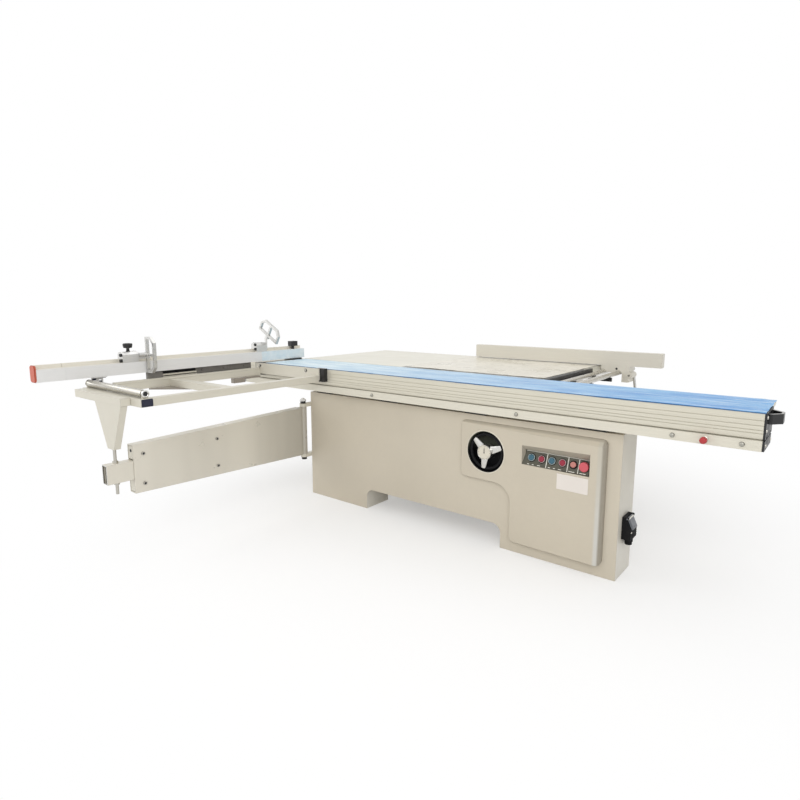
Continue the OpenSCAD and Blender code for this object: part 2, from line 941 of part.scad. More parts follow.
module guide_rods() color("silver") {
  for (y = track_ys) rod_x(-car_x1, car_x1, y, rail_z1 + seat + track_r, track_r);
  for (x = rod_x) rod_y(rod_y0, rod_y1, x, rod_z, fence_rod_r);
}

module fixing_bolts() color("silver") {
  for (share = bolt_shares) {
    rod_y(car_y0 - bolt_head, car_y0, share * car_l, bolt_z, bolt_r);
    rod_y(car_y0 - over, car_y0 + shank_l, share * car_l, bolt_z, shank_r);
  }
}

module main_table() color("#b8b6b0") {
  difference() {
    box(tab_x0, tab_x1, tab_y0, tab_y1, tab_z0, table_h);
    box(tab_x0 + tab_skirt, tab_x1 - tab_skirt, tab_y0 - over, tab_y1 - tab_skirt,
      tab_z0 - over, table_h - tab_plate);
  }
}

// Folded sheet table, open below
module folded_table(x0, x1, y0, y1) {
  difference() {
    box(x0, x1, y0, y1, fold_z0, table_h);
    box(x0 + sheet, x1 - sheet, y0 + sheet, y1 - sheet, fold_z0 - over, table_h - sheet);
  }
}

module extension_tables() color("#e2ddcd") {
  reach = rear_l * strut_reach_share;
  side_reach = side_w * strut_reach_share;
  rear_y = tab_y0 + tab_w * strut_at_share;
  folded_table(rear_x0, rear_x1, tab_y0, side_y1);
  folded_table(tab_x0, tab_x1, side_y0, side_y1);
  // Struts from the body up into the folded tables
  prism_y(rear_y - strut_w / 2, rear_y + strut_w / 2) polygon([
    [body_x0, strut_low], [body_x0, strut_low + strut_h],
    [body_x0 - reach + strut_h, table_h - sheet], [body_x0 - reach, table_h - sheet]
  ]);
  prism_x(tab_shift - strut_w / 2, tab_shift + strut_w / 2) polygon([
    [tab_y1, strut_low], [tab_y1, strut_low + strut_h],
    [tab_y1 + side_reach - strut_h, table_h - sheet], [tab_y1 + side_reach, table_h - sheet]
  ]);
}

module table_wrap() color("#e6e4da") {
  box(tab_x0 + wrap_rim, tab_x1 - wrap_rim, tab_y0 + wrap_in, side_y1 - wrap_rim, table_h, table_h + wrap_t);
}

module scale_bar() color("#26262a") {
  z1 = table_h - bar_drop;
  low = rod_z - fence_rod_r - seat - saddle_h;
  box(tab_x1, bar_x1, tab_y0, bar_y1, z1 - bar_h, z1);
  for (share = saddle_shares) {
    y = tab_y0 + saddle_t + (bar_y1 - tab_y0 - 2 * saddle_t) * share;
    box(tab_x1, rod_x[1] + fence_rod_r, y - saddle_t / 2, y + saddle_t / 2, low, low + saddle_h);
    box(tab_x1, bar_x1, y - saddle_t / 2, y + saddle_t / 2, low, z1);
  }
}

// Both trunnion plates, each with an arc slot about the tilt axis
module tilt_trunnions() color("#8d8f8c") {
  hang = arc_r + arc_rim;
  for (x = [cradle_x0 - trunnion_gap - trunnion_t, cradle_x1 + trunnion_gap])
    translate([0, blade_y, table_h]) prism_x(x, x + trunnion_t) difference() {
      union() {
        ring_sector(arc_r - arc_rim, arc_r + arc_rim, arc_from, arc_to);
        rect(arc_r * cos(arc_to) - arc_rim, hang * cos(arc_to), -arc_r * sin(-arc_to), -tab_plate);
      }
      ring_sector(arc_r - arc_half, arc_r + arc_half, slot_from, slot_to);
    }
}

module arm_hinge() color("#cbc2b0") {
  z0 = arm_z - arm_root_h / 2;
  z1 = arm_z + arm_root_h / 2;
  for (z = [z0 - hinge_ear_gap - hinge_ear, z1 + hinge_ear_gap]) difference() {
    union() {
      rod_z(z, z + hinge_ear, hinge_x, hinge_y, barrel_r);
      box(hinge_x - hinge_r, cab_x0, hinge_y, cab_y0 + hinge_foot_w, z, z + hinge_ear);
    }
    rod_z(z - over, z + hinge_ear + over, hinge_x, hinge_y, hinge_r);
  }
  rod_z(z0 - hinge_ear_gap - hinge_ear - pin_head, z1 + hinge_ear_gap + hinge_ear + pin_up,
    hinge_x, hinge_y, hinge_r);
  for (z = [z0 - hinge_ear_gap - hinge_ear - bush_h, z1 + hinge_ear_gap + hinge_ear]) difference() {
    rod_z(z, z + bush_h, hinge_x, hinge_y, bush_r);
    rod_z(z - over, z + bush_h + over, hinge_x, hinge_y, hinge_r);
  }
}

module power_inlet() color("#1f1f21") {
  y0 = inlet_y - inlet_w / 2;
  z1 = inlet_z + inlet_h;
  x1 = cab_x1 + inlet_d;
  difference() {
    union() {
      prism_y(y0, y0 + inlet_w) polygon([
        [cab_x1, inlet_z], [x1, inlet_z], [x1, inlet_z + inlet_step], [cab_x1 + inlet_top, z1], [cab_x1, z1]
      ]);
      for (y = [y0, y0 + inlet_w - lid_ear])
        box(cab_x1, lid_x + lid_ear / 2, y, y + lid_ear, lid_z - lid_ear / 2, lid_z + lid_ear / 2);
      rod_z(inlet_z - socket_l, inlet_z + over, cab_x1 + inlet_d / 2, inlet_y, socket_r);
    }
    rod_y(y0 - over, y0 + inlet_w + over, lid_x, lid_z, lid_pin_r + run);
  }
}

// Lid that hangs from its pin and lies on the inlet's slope
module inlet_lid() color("#8b8a84") {
  y0 = inlet_y - inlet_w / 2;
  rod_y(y0, y0 + inlet_w, lid_x, lid_z, lid_pin_r);
  translate([lid_x, 0, lid_z]) rotate([0, -lid_angle, 0])
    box(-lid_t / 2, lid_t / 2, y0 + lid_ear + fit, y0 + inlet_w - lid_ear - fit, -lid_h, lid_pin_r / 2);
}

// Section of the carriage beam across its length
module carriage_section() {
  deck_z = table_h - deck_t;
  lip_z = table_h - lip_t;
  difference() {
    union() {
      polygon(concat(
        [for (i = [0 : cove_steps]) let (t = 90 * i / cove_steps)
          [car_y0 + cove_d * (1 - cos(t)), car_z0 + cove_h * (1 - sin(t))]],
        [
          [car_y0 + cove_d + skirt_t, car_z0], [car_y0 + cove_d + skirt_t, car_z0 + cove_h],
          [car_y0 + skirt_t, car_z0 + 2 * cove_h], [car_y0 + skirt_t, deck_z], [rail_y1, deck_z],
          [rail_y1, car_z0], [lip_y0, car_z0], [lip_y0, lip_z], [car_y1 - lip_t + lip_edge, lip_z],
          [car_y1, table_h - lip_edge], [car_y1, table_h], [car_y0, table_h]
        ]
      ));
      for (y = track_ys)
        rect(y - track_rib_w / 2, y + track_rib_w / 2, deck_z - track_rib_h, deck_z + over);
    }
    for (share = groove_shares)
      rect(car_y0 - over, car_y0 + groove, car_z0 + share * car_h, car_z0 + share * car_h + groove);
  }
}

module carriage_beam() color("#d0cdbf") {
  prism_x(-car_x1, car_x1) carriage_section();
}

module carriage_end_caps() color("#222222") {
  top = rail_z1 + seat + 2 * track_r;
  for (end = [[-car_x1 - cap_t, -car_x1], [car_x1, car_x1 + cap_t]]) prism_x(end[0], end[1]) difference() {
    rect(car_y0 + cap_gap, lip_y0 - cap_gap, car_z0 + cap_gap, table_h - cap_gap);
    for (y = track_ys)
      rect(y - track_r - cap_notch, y + track_r + cap_notch, car_z0 - over, top + cap_notch);
  }
}

// Half outline of the handle strap in plan, from the cap outwards
module handle_plan(inset) {
  half = handle_w / 2 - inset;
  out = handle_out - inset;
  x = out - handle_out * handle_corner_shares[0];
  y = half - handle_w / 2 * handle_corner_shares[1];
  polygon([[0, -half], [x, -half], [out, -y], [out, y], [x, half], [0, half]]);
}

module push_handle() color("#1d1d1f") {
  z = car_z0 + car_h * handle_z_share;
  translate([car_x1 + cap_t, (car_y0 + rail_y1) / 2, 0]) prism_z(z, z + handle_h) difference() {
    handle_plan(0);
    translate([-over, 0]) handle_plan(handle_t);
  }
}

// Centres of the rollers along the roller carriage
function roller_x(i) = -cage_l / 2 + cage_l * (i + half_share) / roller_count;

module roller_carriage() color("#9a9c9b") {
  bars = [track_ys[0] + roller_w / 2 + fit, track_ys[1] - roller_w / 2 - fit - bar_thick];
  for (y = bars)
    box(-cage_l / 2, cage_l / 2, y, y + bar_thick, roller_z - cage_bar_h / 2, roller_z + cage_bar_h / 2);
  for (i = [0 : roller_count - 1]) {
    rod_y(track_ys[0] - roller_w / 2, track_ys[1] + roller_w / 2, roller_x(i), roller_z, axle_r);
    for (y = track_ys) rod_y(y - roller_w / 2, y + roller_w / 2, roller_x(i), roller_z, roller_r);
  }
}

module outrigger_frame() color("#dcd8ca") {
  // Side tubes, outer tube, brace and the bar in front that carries the gusset
  tube_along_y(out_x1 - tube_w, out_x1, outer_y1, inner_y0, tube_z0, tube_z1, tube_wall);
  tube_along_y(out_x0, out_x0 + tube_w, outer_y1, inner_y0, tube_z0, tube_z1, tube_wall);
  tube_along_x(out_x0, out_x1, outer_y0, outer_y1, tube_z0, tube_z1, tube_wall);
  tube_along_x(out_x0 + tube_w, out_x1 - tube_w, brace_y - outer_w / 2, brace_y + outer_w / 2,
    tube_z0, tube_z1, tube_wall);
  tube_along_x(foot_bar_x0, foot_bar_x1, foot_bar_y0, outer_y0, tube_z0, tube_z1, tube_wall);
  // Inner plate
  box(out_x0, out_x1, inner_y0, inner_y1, inner_z0, inner_z1);
  // Roller ears
  for (x = [out_x0 + ear_in, out_x1 - ear_in - ear_t]) difference() {
    box(x, x + ear_t, sup_y - ear_w / 2, sup_y + ear_w / 2, tube_z1, sup_z + ear_rim);
    rod_x(x - over, x + ear_t + over, sup_y, sup_z, sup_pin_r + run);
  }
}

module outrigger_clamps() color("#1c1c1e") {
  z0 = inner_z0 - clamp_rise;
  for (x = [out_x1 - clamp_step, out_x0 - clamp_far])
    box(x, x + clamp_w, inner_y1, car_y0, z0, z0 + clamp_h);
  for (share = clamp_bolt_shares)
    rod_y(inner_y0 - bolt_head, inner_y0, out_x0 + share * out_w, inner_z1 - inner_h / 4, bolt_r);
}

// Tapered outline of the gusset, drawn in by an inset
module gusset_outline(inset) {
  polygon([
    [gus_x - gus_top / 2 + inset, tube_z0], [gus_x - gus_foot / 2 + inset, gus_z0 + inset],
    [gus_x + gus_foot / 2 - inset, gus_z0 + inset], [gus_x + gus_top / 2 - inset, tube_z0]
  ]);
}

module support_gusset() color("#d2ccba") {
  difference() {
    prism_y(foot_bar_y0, foot_bar_y0 + gus_d) gusset_outline(0);
    prism_y(foot_bar_y0 + gus_wall, foot_bar_y0 + gus_d + over) gusset_outline(gus_wall);
    rod_z(gus_z0 - over, gus_z0 + 2 * gus_wall, gus_x, gus_y, stud_r + fit);
  }
}

module outrigger_roller() color("#c9c2b2") {
  x0 = out_x0 + ear_in + ear_t;
  x1 = out_x1 - ear_in - ear_t;
  rod_x(x0 + sup_gap, x1 - sup_gap, sup_y, sup_z, sup_r);
  rod_x(x0 - ear_t, x1 + ear_t, sup_y, sup_z, sup_pin_r);
}

// Section of the fence with its slots
module fence_section(x0, x1, z0, z1) {
  difference() {
    rect(x0, x1, z0, z1);
    rect((x0 + x1) / 2 - slot_w / 2, (x0 + x1) / 2 + slot_w / 2, z1 - slot_d, z1 + over);
    rect(x0 - over, x0 + slot_d, (z0 + z1) / 2 - slot_w / 2, (z0 + z1) / 2 + slot_w / 2);
  }
}

module crosscut_fence() color("#d9dad7") {
  foot_y = fence_y1 - fence_l * foot_share;
  difference() {
    union() {
      prism_y(fence_y0, fence_y1) difference() {
        fence_section(fence_x0, fence_x1, fence_z0, fence_z1);
        rect(fence_x0 + fence_wall, fence_x1 - fence_wall, fence_z0 + fence_wall, fence_z1 - fence_wall);
      }
      // Raised strip along the fence's back
      box(fence_x0, fence_x0 + rib_w, fence_y0, fence_y1, fence_z1 - over, fence_z1 + rib_h);
      rod_z(fence_z0, fence_z1 - slot_d, fence_x, pivot_y, pivot_r + fence_wall);
      // Foot that rests on the far tube
      difference() {
        box(fence_x0, fence_x1 - fence_wall, foot_y - foot_w / 2, foot_y + foot_w / 2,
          fence_z0 - foot_drop, fence_z0);
        box(fence_x0 + foot_t, fence_x1 + over, foot_y - foot_w, foot_y + foot_w,
          fence_z0 - foot_drop + foot_t, fence_z0 - foot_t);
        for (y = [foot_y - foot_w / 4, foot_y + foot_w / 4])
          rod_x(fence_x0 - over, fence_x0 + foot_t + over, y, fence_z0 - foot_drop / 2, foot_hole_r);
      }
    }
    rod_z(fence_z0 - over, fence_z1 + over, fence_x, pivot_y, pivot_r + run);
  }
}

module fence_pivot() color("#1f1f20") {
  low = fence_z1 + pivot_knob_up;
  top = low + pivot_knob_h;
  box(fence_x - pivot_base / 2, fence_x + pivot_base / 2, pivot_y - pivot_base / 2, pivot_y + pivot_base / 2,
    table_h, fence_z0 - fit);
  rod_z(table_h, top - over, fence_x, pivot_y, pivot_r);
  box(fence_x - pivot_knob_d / 2, fence_x + pivot_knob_d / 2,
    pivot_y - pivot_knob_w / 2, pivot_y + pivot_knob_w / 2, low, top);
}

module fence_extension() color("#d9dad7") {
  gap = fence_wall + spigot_fit;
  ext_y1 = fence_y0 - fit;
  difference() {
    union() {
      prism_y(ext_y1 - ext_l, ext_y1) fence_section(fence_x0, fence_x1, fence_z0, fence_z1);
      box(fence_x0 + gap, fence_x1 - gap, ext_y1 - over, fence_y0 + spigot_l, fence_z0 + gap, fence_z1 - gap);
    }
    box(fence_x0 + gap + fence_wall, fence_x1 - gap - fence_wall,
      ext_y1 - ext_l - over, fence_y0 + spigot_l + over,
      fence_z0 + gap + fence_wall, fence_z1 - gap - fence_wall);
  }
}

module fence_end_cap() color("#be4a38") {
  y1 = fence_y0 - fit - ext_l;
  bevel = cap_l / 3;
  prism_x(fence_x0, fence_x1) polygon([
    [y1, fence_z0], [y1, fence_z1], [y1 - cap_l + bevel, fence_z1], [y1 - cap_l, fence_z1 - bevel],
    [y1 - cap_l, fence_z0 + bevel], [y1 - cap_l + bevel, fence_z0]
  ]);
}

// Stop block on the fence: its body, link and the pin on which its finger turns
module stop_block(y0, l, hinge_h, link) {
  z0 = fence_z1 + fit;
  y1 = y0 + l;
  hx = fence_x1 - finger_back + slot_d;
  hz = fence_z1 + hinge_h;
  bevel = block_h / 4;
  strip_x = fence_x0 + rib_w + fit;
  strip_z = fence_z1 + rib_h + fit;
  prism_y(y0, y1) polygon([
    [strip_x, z0], [fence_x1, z0], [fence_x1, z0 + block_h - bevel], [fence_x1 - bevel, z0 + block_h],
    [fence_x0 + bevel, z0 + block_h], [fence_x0, z0 + block_h - bevel], [fence_x0, strip_z], [strip_x, strip_z]
  ]);
  // Link from the block out to the hinge
  box(hx - lug_r, hx + finger_back / 2, y1 - over, y1 + link - fit, z0 + bevel, hz);
  rod_y(y1 + over, y1 + link - fit, hx, hz, lug_r - over);
  rod_y(y1 + over, y1 + link + finger_t + fit, hx, hz, finger_pin_r);
}

// Clamp knob on a stem
module clamp_knob(h) {
  cylinder(h = knob_stem_h, r = knob_stem_r);
  translate([0, 0, knob_stem_h - over]) cylinder(h = h, r1 = knob_r - knob_stem_r, r2 = knob_r);
}

// Ladder shaped finger about its hinge, turned up by an angle
module stop_finger(y0, l, hinge_h, link, angle) {
  half = finger_h / 2;
  side = half - finger_bevel;
  front = finger_back + finger_w;
  hx = fence_x1 - finger_back + slot_d;
  y = y0 + l + link;
  translate([hx, 0, fence_z1 + hinge_h]) rotate([0, -angle, 0]) difference() {
    prism_y(y, y + finger_t) difference() {
      union() {
        polygon([
          [finger_back, -half], [front - finger_bevel, -half], [front, -side],
          [front, side], [front - finger_bevel, half], [finger_back, half]
        ]);
        circle(lug_r);
        rect(0, finger_back + over, -lug_r, lug_r);
      }
      for (end = [-1, 1]) {
        near = end * finger_bar / 2;
        far = end * (half - finger_bar);
        polygon([
          [finger_back + finger_bar, near], [front - finger_bar, near],
          [front - finger_bar, end * (side - finger_bar / 2)],
          [front - finger_bevel - finger_bar / 2, far], [finger_back + finger_bar, far]
        ]);
      }
    }
    rod_y(y - over, y + finger_t + over, 0, 0, finger_pin_r + run);
  }
}

near_block_y = fence_y1 - fence_l * near_block_share - near_block_l;
far_block_y = fence_y1 - fence_l * far_block_share - far_block_l;

module stop_block_near() color("#c8c8c6") {
  stop_block(near_block_y, near_block_l, near_hinge_h, near_link);
  translate([fence_x, near_block_y + near_block_l / 2, fence_z1 + block_h - over]) clamp_knob(knob_h);
}
module stop_finger_near() color("#cfcfcd")
  stop_finger(near_block_y, near_block_l, near_hinge_h, near_link, 0);
module stop_block_far() color("#c8c8c6") {
  stop_block(far_block_y, far_block_l, far_hinge_h, far_link);
  translate([fence_x0 + over, far_block_y + far_block_l / 2, fence_z1 + block_h / 2 + knob_stem_r])
    rotate([0, -90, 0]) clamp_knob(knob_stem_r);
}
module stop_finger_far() color("#cfcfcd")
  stop_finger(far_block_y, far_block_l, far_hinge_h, far_link, raised_angle);

// Places pieces of the arm: their own frame has the hinge at the origin and the arm along -Y
module on_arm() {
  translate([hinge_x, hinge_y, 0]) rotate([0, 0, -arm_angle]) children();
}

// Tapered side of the arm, drawn in by an inset
module arm_side(inset, root, tip) {
  polygon([
    [-root, arm_z - arm_root_h / 2 + inset], [-root, arm_z + arm_root_h / 2 - inset],
    [-tip, arm_z - arm_tip_drop + arm_tip_h / 2 - inset], [-tip, arm_z - arm_tip_drop - arm_tip_h / 2 + inset]
  ]);
}

module swing_arm() color("#d3ccbb") on_arm() {
  half = arm_w / 2;
  difference() {
    union() {
      prism_x(-half, half) arm_side(0, arm_start, arm_l);
      rod_z(arm_z - arm_root_h / 2, arm_z + arm_root_h / 2, 0, 0, barrel_r);
      box(-half / 2, half / 2, -arm_start - over, 0, arm_z - arm_root_h / 2, arm_z + arm_root_h / 2);
    }
    prism_x(-half + arm_wall, half - arm_wall) arm_side(arm_wall, arm_start + arm_wall, arm_l + over);
    rod_z(arm_z - arm_root_h, arm_z + arm_root_h, 0, 0, hinge_r + run);
    for (share = guide_shares) for (side = [-1, 1])
      rod_x(-arm_w, arm_w, -share * arm_l, tube_z + side * guide_half, guide_bolt_r + run);
  }
}

module arm_guides() color("#8f8f8b") on_arm() {
  half = arm_w / 2;
  for (share = guide_shares) for (side = [-1, 1]) {
    y = -share * arm_l;
    z = tube_z + side * guide_half;
    rod_x(-half - guide_head, half + guide_head, y, z, guide_bolt_r);
    for (x = [-half - guide_head, half]) rod_x(x, x + guide_head, y, z, guide_head_r);
    rod_x(-half + arm_wall + guide_gap, half - arm_wall - guide_gap, y, z, guide_half - sup_h / 2 - fit);
  }
}

module support_tube() color("#d6d0c0") on_arm() {
  half = arm_w / 2 - arm_wall - tube_side;
  // The tube reaches past its stud, however far the arm stops short of it
  y0 = -max(arm_l + sup_out, stud_at + stud_rim);
  difference() {
    tube_along_y(-half, half, y0, y0 + sup_l, tube_z - sup_h / 2, tube_z + sup_h / 2, tube_wall);
    rod_z(tube_z - sup_h, tube_z + sup_h, 0, -stud_at, stud_r);
  }
}

module support_stud() color("#b9b9b4") on_arm() {
  z0 = tube_z - sup_h / 2 - stud_low;
  rod_z(z0, gus_z0 - stud_gap, 0, -stud_at, stud_r);
  for (z = [tube_z - sup_h / 2 - nut_h, tube_z + sup_h / 2]) difference() {
    translate([0, -stud_at, z]) cylinder(h = nut_h, r = nut_r, $fn = 6);
    rod_z(z - over, z + nut_h + over, 0, -stud_at, stud_r);
  }
}

module rip_carrier() color("#cdc9bc") {
  top = carrier_top;
  x1 = rod_x[1] + fence_rod_r + carrier_skirt;
  difference() {
    union() {
      box(carrier_x0, x1, rip_y0, rip_y0 + carrier_w, rod_z, top);
      box(rod_x[1] + fence_rod_r + rod_side / 2, x1, rip_y0, rip_y0 + carrier_w,
        rod_z - carrier_low, rod_z + over);
      rod_y(rip_y0, rip_y0 + carrier_w, x1, rod_z - carrier_low / 4, carrier_tongue);
    }
    for (x = rod_x) rod_y(rip_y0 - over, rip_y0 + carrier_w + over, x, rod_z, fence_rod_r + fit);
    rod_y(rip_y0 - over, rip_y0 + carrier_w + over, x1, rod_z - carrier_low / 4, lever_pin_r + run);
  }
}

module rip_fence() color("#d4cfc2") {
  difference() {
    box(rip_x0, rip_near, rip_y0, rip_y0 + rip_t, rip_z0, rip_z0 + rip_h);
    box(rip_x0 - over, rip_near + over, rip_y0 + rip_wall, rip_y0 + rip_t - rip_wall,
      rip_z0 + rip_wall, rip_z0 + rip_h - rip_wall);
  }
}

module rip_lever() color("#1d1d1f") {
  x = rod_x[1] + fence_rod_r + carrier_skirt;
  z = rod_z - carrier_low / 4;
  y = rip_y0 + carrier_w + fit;
  rod_y(rip_y0, y + lever_r, x, z, lever_pin_r);
  rod_y(y, y + 2 * lever_r, x, z, lever_r + over);
  translate([x, y + lever_r, z]) rotate([0, lever_angle, 0]) cylinder(h = lever_l, r = lever_r);
}

// Places pieces of the saw unit about the tilt axis
module on_tilt() {
  translate([0, blade_y, table_h]) children();
}

// End plate of the cradle
module cradle_end() {
  polygon([
    [cradle_y0, cradle_top - 2 * beam], [cradle_y1 - 2 * beam, cradle_top], [cradle_y1, cradle_top],
    [cradle_y1, cradle_top - 4 * beam], [cradle_y0 + 4 * beam, cradle_low], [cradle_y0, cradle_low]
  ]);
}

module tilt_cradle() color("#55585a") on_tilt() {
  low = cradle_low + beam;
  for (x = [cradle_x0, cradle_x1 - cradle_t]) prism_x(x, x + cradle_t) cradle_end();
  box(cradle_x0, cradle_x1, cradle_y0, slide_y1, cradle_low, low);
  box(cradle_x0, cradle_x1, cradle_y1 - beam, cradle_y1, cradle_top - beam, cradle_top);
  // Shoes that ride in the trunnions' slots
  for (x = [cradle_x0 - trunnion_gap - trunnion_t, cradle_x1])
    prism_x(x, x + trunnion_gap + trunnion_t)
      ring_sector(arc_r - arc_half + shoe_fit, arc_r + arc_half - shoe_fit, shoe_from, shoe_to);
  // Upright bars on which the lift slide runs
  for (side = [-1, 1]) {
    x = blade_x + side * (slide_half + fit + guide_bar / 2);
    box(x - guide_bar / 2, x + guide_bar / 2, slide_y0, slide_y1, low - over, arbor_z + slide_up);
  }
}

module lift_slide() color("#6a6d6f") on_tilt() {
  low = arbor_z - slide_down;
  knife_z = arbor_z - 2 * beam;
  difference() {
    union() {
      box(blade_x - slide_half, blade_x + slide_half, slide_y0, slide_y1, low, arbor_z + slide_up);
      rod_y(housing_y0, housing_y1, blade_x, arbor_z, housing_r);
      // Arms past the belt to the motor's face
      for (side = [-1, 1]) {
        x = blade_x + side * arm_at;
        box(x - arm_half, x + arm_half, slide_y1 - over, motor_y0, low, low + 2 * beam);
      }
      // Riving knife and its holder
      translate([blade_x, 0, arbor_z]) prism_y(-knife_t / 2, knife_t / 2)
        ring_sector(knife_r0, knife_r1, knife_from, knife_to);
      box(blade_x - knife_r1, blade_x - slide_half + beam, -knife_t / 2, slide_y0 - guide_bar,
        knife_z, knife_z + beam);
      box(blade_x - slide_half, blade_x - slide_half + beam, slide_y0 - guide_bar - over, slide_y0 + over,
        knife_z, knife_z + beam);
    }
    rod_y(housing_y0 - over, housing_y1 + over, blade_x, arbor_z, arbor_r + run);
    rod_y(-knife_t, housing_y0, blade_x, arbor_z, knife_r0);
  }
}

module saw_motor() color("#4a5f74") on_tilt() {
  y1 = motor_y0 + motor_l;
  difference() {
    rod_y(motor_y0, y1, blade_x, motor_z, motor_r);
    rod_y(motor_y0 - over, y1 + over, blade_x, motor_z, motor_shaft_r + run);
  }
}

module motor_pulley() color("#8a8c8e") on_tilt() {
  rod_y(pulley_y0, motor_y0 + motor_l, blade_x, motor_z, motor_shaft_r);
  rod_y(pulley_y0, pulley_y0 + pulley_w, blade_x, motor_z, motor_pulley_r);
}

module saw_arbor() color("#b5b7b8") on_tilt() {
  t = blade_t / 2;
  rod_y(-t - flange_t - nut_t, pulley_y0 + pulley_w, blade_x, arbor_z, arbor_r);
  rod_y(t, housing_y0 - fit, blade_x, arbor_z, flange_r);
  rod_y(-t - flange_t, -t, blade_x, arbor_z, flange_r);
  translate([blade_x, -t - flange_t, arbor_z]) rotate([90, 0, 0]) cylinder(h = nut_t, r = nut_hex_r, $fn = 6);
  rod_y(pulley_y0, pulley_y0 + pulley_w, blade_x, arbor_z, arbor_pulley_r);
}

// Saw blade outline: each tooth rises to its tip and drops into a gullet
function at_angle(r, turn) = r * [cos(360 * turn), sin(360 * turn)];
function tooth(i, n, r, d) = [
  at_angle(r - d, i / n), at_angle(r, (i + tooth_tip_share) / n), at_angle(r, (i + tooth_back_share) / n)
];

module blade_disc(r, n, d) {
  polygon([for (i = [0 : n - 1]) each tooth(i, n, r, d)]);
}

module main_blade() color("#c4c6c8") on_tilt() {
  translate([blade_x, 0, arbor_z]) prism_y(-blade_t / 2, blade_t / 2) difference() {
    blade_disc(blade_r, blade_teeth, tooth_d);
    circle(arbor_r);
  }
}

// Points of the belt's loop round both pulleys, grown by an amount
function belt_lean() = asin((motor_pulley_r - arbor_pulley_r) / belt_span);
function belt_loop(grow) = [
  for (i = [0 : belt_steps]) let (a = belt_lean() + (180 - 2 * belt_lean()) * i / belt_steps)
    (arbor_pulley_r + grow) * [cos(a), sin(a)],
  for (i = [0 : belt_steps]) let (a = 180 - belt_lean() + (180 + 2 * belt_lean()) * i / belt_steps)
    [0, -belt_span] + (motor_pulley_r + grow) * [cos(a), sin(a)]
];

module drive_belt() color("#202022") on_tilt() {
  y0 = pulley_y0 + pulley_rim;
  translate([blade_x, 0, arbor_z]) prism_y(y0, y0 + belt_w) difference() {
    polygon(belt_loop(belt_gap + belt_t));
    polygon(belt_loop(belt_gap));
  }
}

module scoring_slide() color("#7a6a58") on_tilt() {
  edge = cradle_x1 - cradle_t - fit;
  difference() {
    union() {
      rod_y(score_y0, score_y1, score_x, score_z, score_body_r);
      box(score_x, edge, slide_y0, slide_y1, score_z - score_arm_low, score_z - score_body_r / 2);
    }
    rod_y(score_y0 - over, score_y1 + over, score_x, score_z, score_arbor_r + run);
  }
}

module scoring_blade() color("#c4c6c8") on_tilt() {
  t = score_t / 2;
  translate([score_x, 0, score_z]) prism_y(-t, t) blade_disc(score_r, blade_teeth / 2, tooth_d / 2);
  rod_y(-t - score_nut, score_y1, score_x, score_z, score_arbor_r);
  for (y = [-t - score_nut, t]) rod_y(y, y + score_nut, score_x, score_z, score_nut_r);
}

// Handwheel about the +Y axis, with its face at y = 0 and its shaft behind it
module handwheel(shaft_l) {
  rotate([-90, 0, 0]) {
    translate([0, 0, rim_t]) rotate_extrude($fn = 96) translate([rim_r, 0]) circle(rim_t, $fn = 32);
    translate([0, 0, -hub_out]) cylinder(h = hub_out + hub_l, r = hub_r);
    cylinder(h = hub_l + shaft_l, r = shaft_r);
    for (i = [0 : spokes - 1]) rotate([0, 0, i * 360 / spokes + spoke_turn])
      translate([0, -spoke_w / 2, rim_t - spoke_t / 2]) cube([rim_r, spoke_w, spoke_t]);
  }
}

module tilt_handwheel() color("#b8b9b6") {
  translate([wheel_x, cab_y0 - cover_thin + wheel_front, wheel_z]) handwheel(shaft_in);
}

module rise_handwheel() color("#b8b9b6") {
  translate([body_x1 + rise_stand + hub_l, rise_y, rise_z]) rotate([0, 0, 90])
    handwheel(rise_stand + sheet + shaft_in / 2);
}

// Push button number i: a head of radius r between two heights over the panel, and its stem
module push_button(i, r, low, high) {
  face = cab_y0 + panel_set;
  rod_y(face - high, face - low, button_x(i), button_z, r);
  rod_y(face - low - over, face + button_tail, button_x(i), button_z, button_tail_r);
}

module main_start() color("#2f6f8f") push_button(0, button_r, button_gap, button_out);
module main_stop() color("#a52f36") push_button(1, button_r, button_gap, button_out);
module scoring_start() color("#2f6f8f") push_button(2, button_r, button_gap, button_out);
module scoring_stop() color("#a52f36") push_button(3, button_r, button_gap, button_out);
module reset_button() color("#b03c3c") push_button(4, button_r - over, button_gap, button_out);
module emergency_stop() color("#b8383e") push_button(5, estop_r, estop_gap, estop_out);

module lock_knob() color("#b02a2e") {
  rod_y(car_y0 - lock_stem_l, car_y0 + lock_stem_l, lock_x, bolt_z, lock_stem_r);
  rod_y(car_y0 - lock_stem_l - lock_ball_l, car_y0 - lock_stem_l + over, lock_x, bolt_z, lock_r);
}

front_cabinet();
control_cover();
control_panel();
wheel_bowl();
machine_feet();
main_body();
rail_supports();
slide_rail();
rail_end_caps();
guide_rods();
fixing_bolts();
main_table();
extension_tables();
table_wrap();
scale_bar();
tilt_trunnions();
arm_hinge();
power_inlet();
carriage_beam();
carriage_end_caps();
push_handle();
roller_carriage();
inlet_lid();
outrigger_frame();
outrigger_clamps();
support_gusset();
outrigger_roller();
crosscut_fence();
fence_pivot();
fence_extension();
fence_end_cap();
stop_block_near();
stop_finger_near();
stop_block_far();
stop_finger_far();
swing_arm();
arm_guides();
support_tube();
support_stud();
rip_carrier();
rip_fence();
rip_lever();
tilt_cradle();
lift_slide();
saw_motor();
motor_pulley();
saw_arbor();
main_blade();
drive_belt();
scoring_slide();
scoring_blade();
tilt_handwheel();
rise_handwheel();
main_start();
main_stop();
scoring_start();
scoring_stop();
reset_button();
emergency_stop();
lock_knob();
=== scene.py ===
import json
import math

import bmesh
import bpy
from mathutils import Matrix, Vector, noise


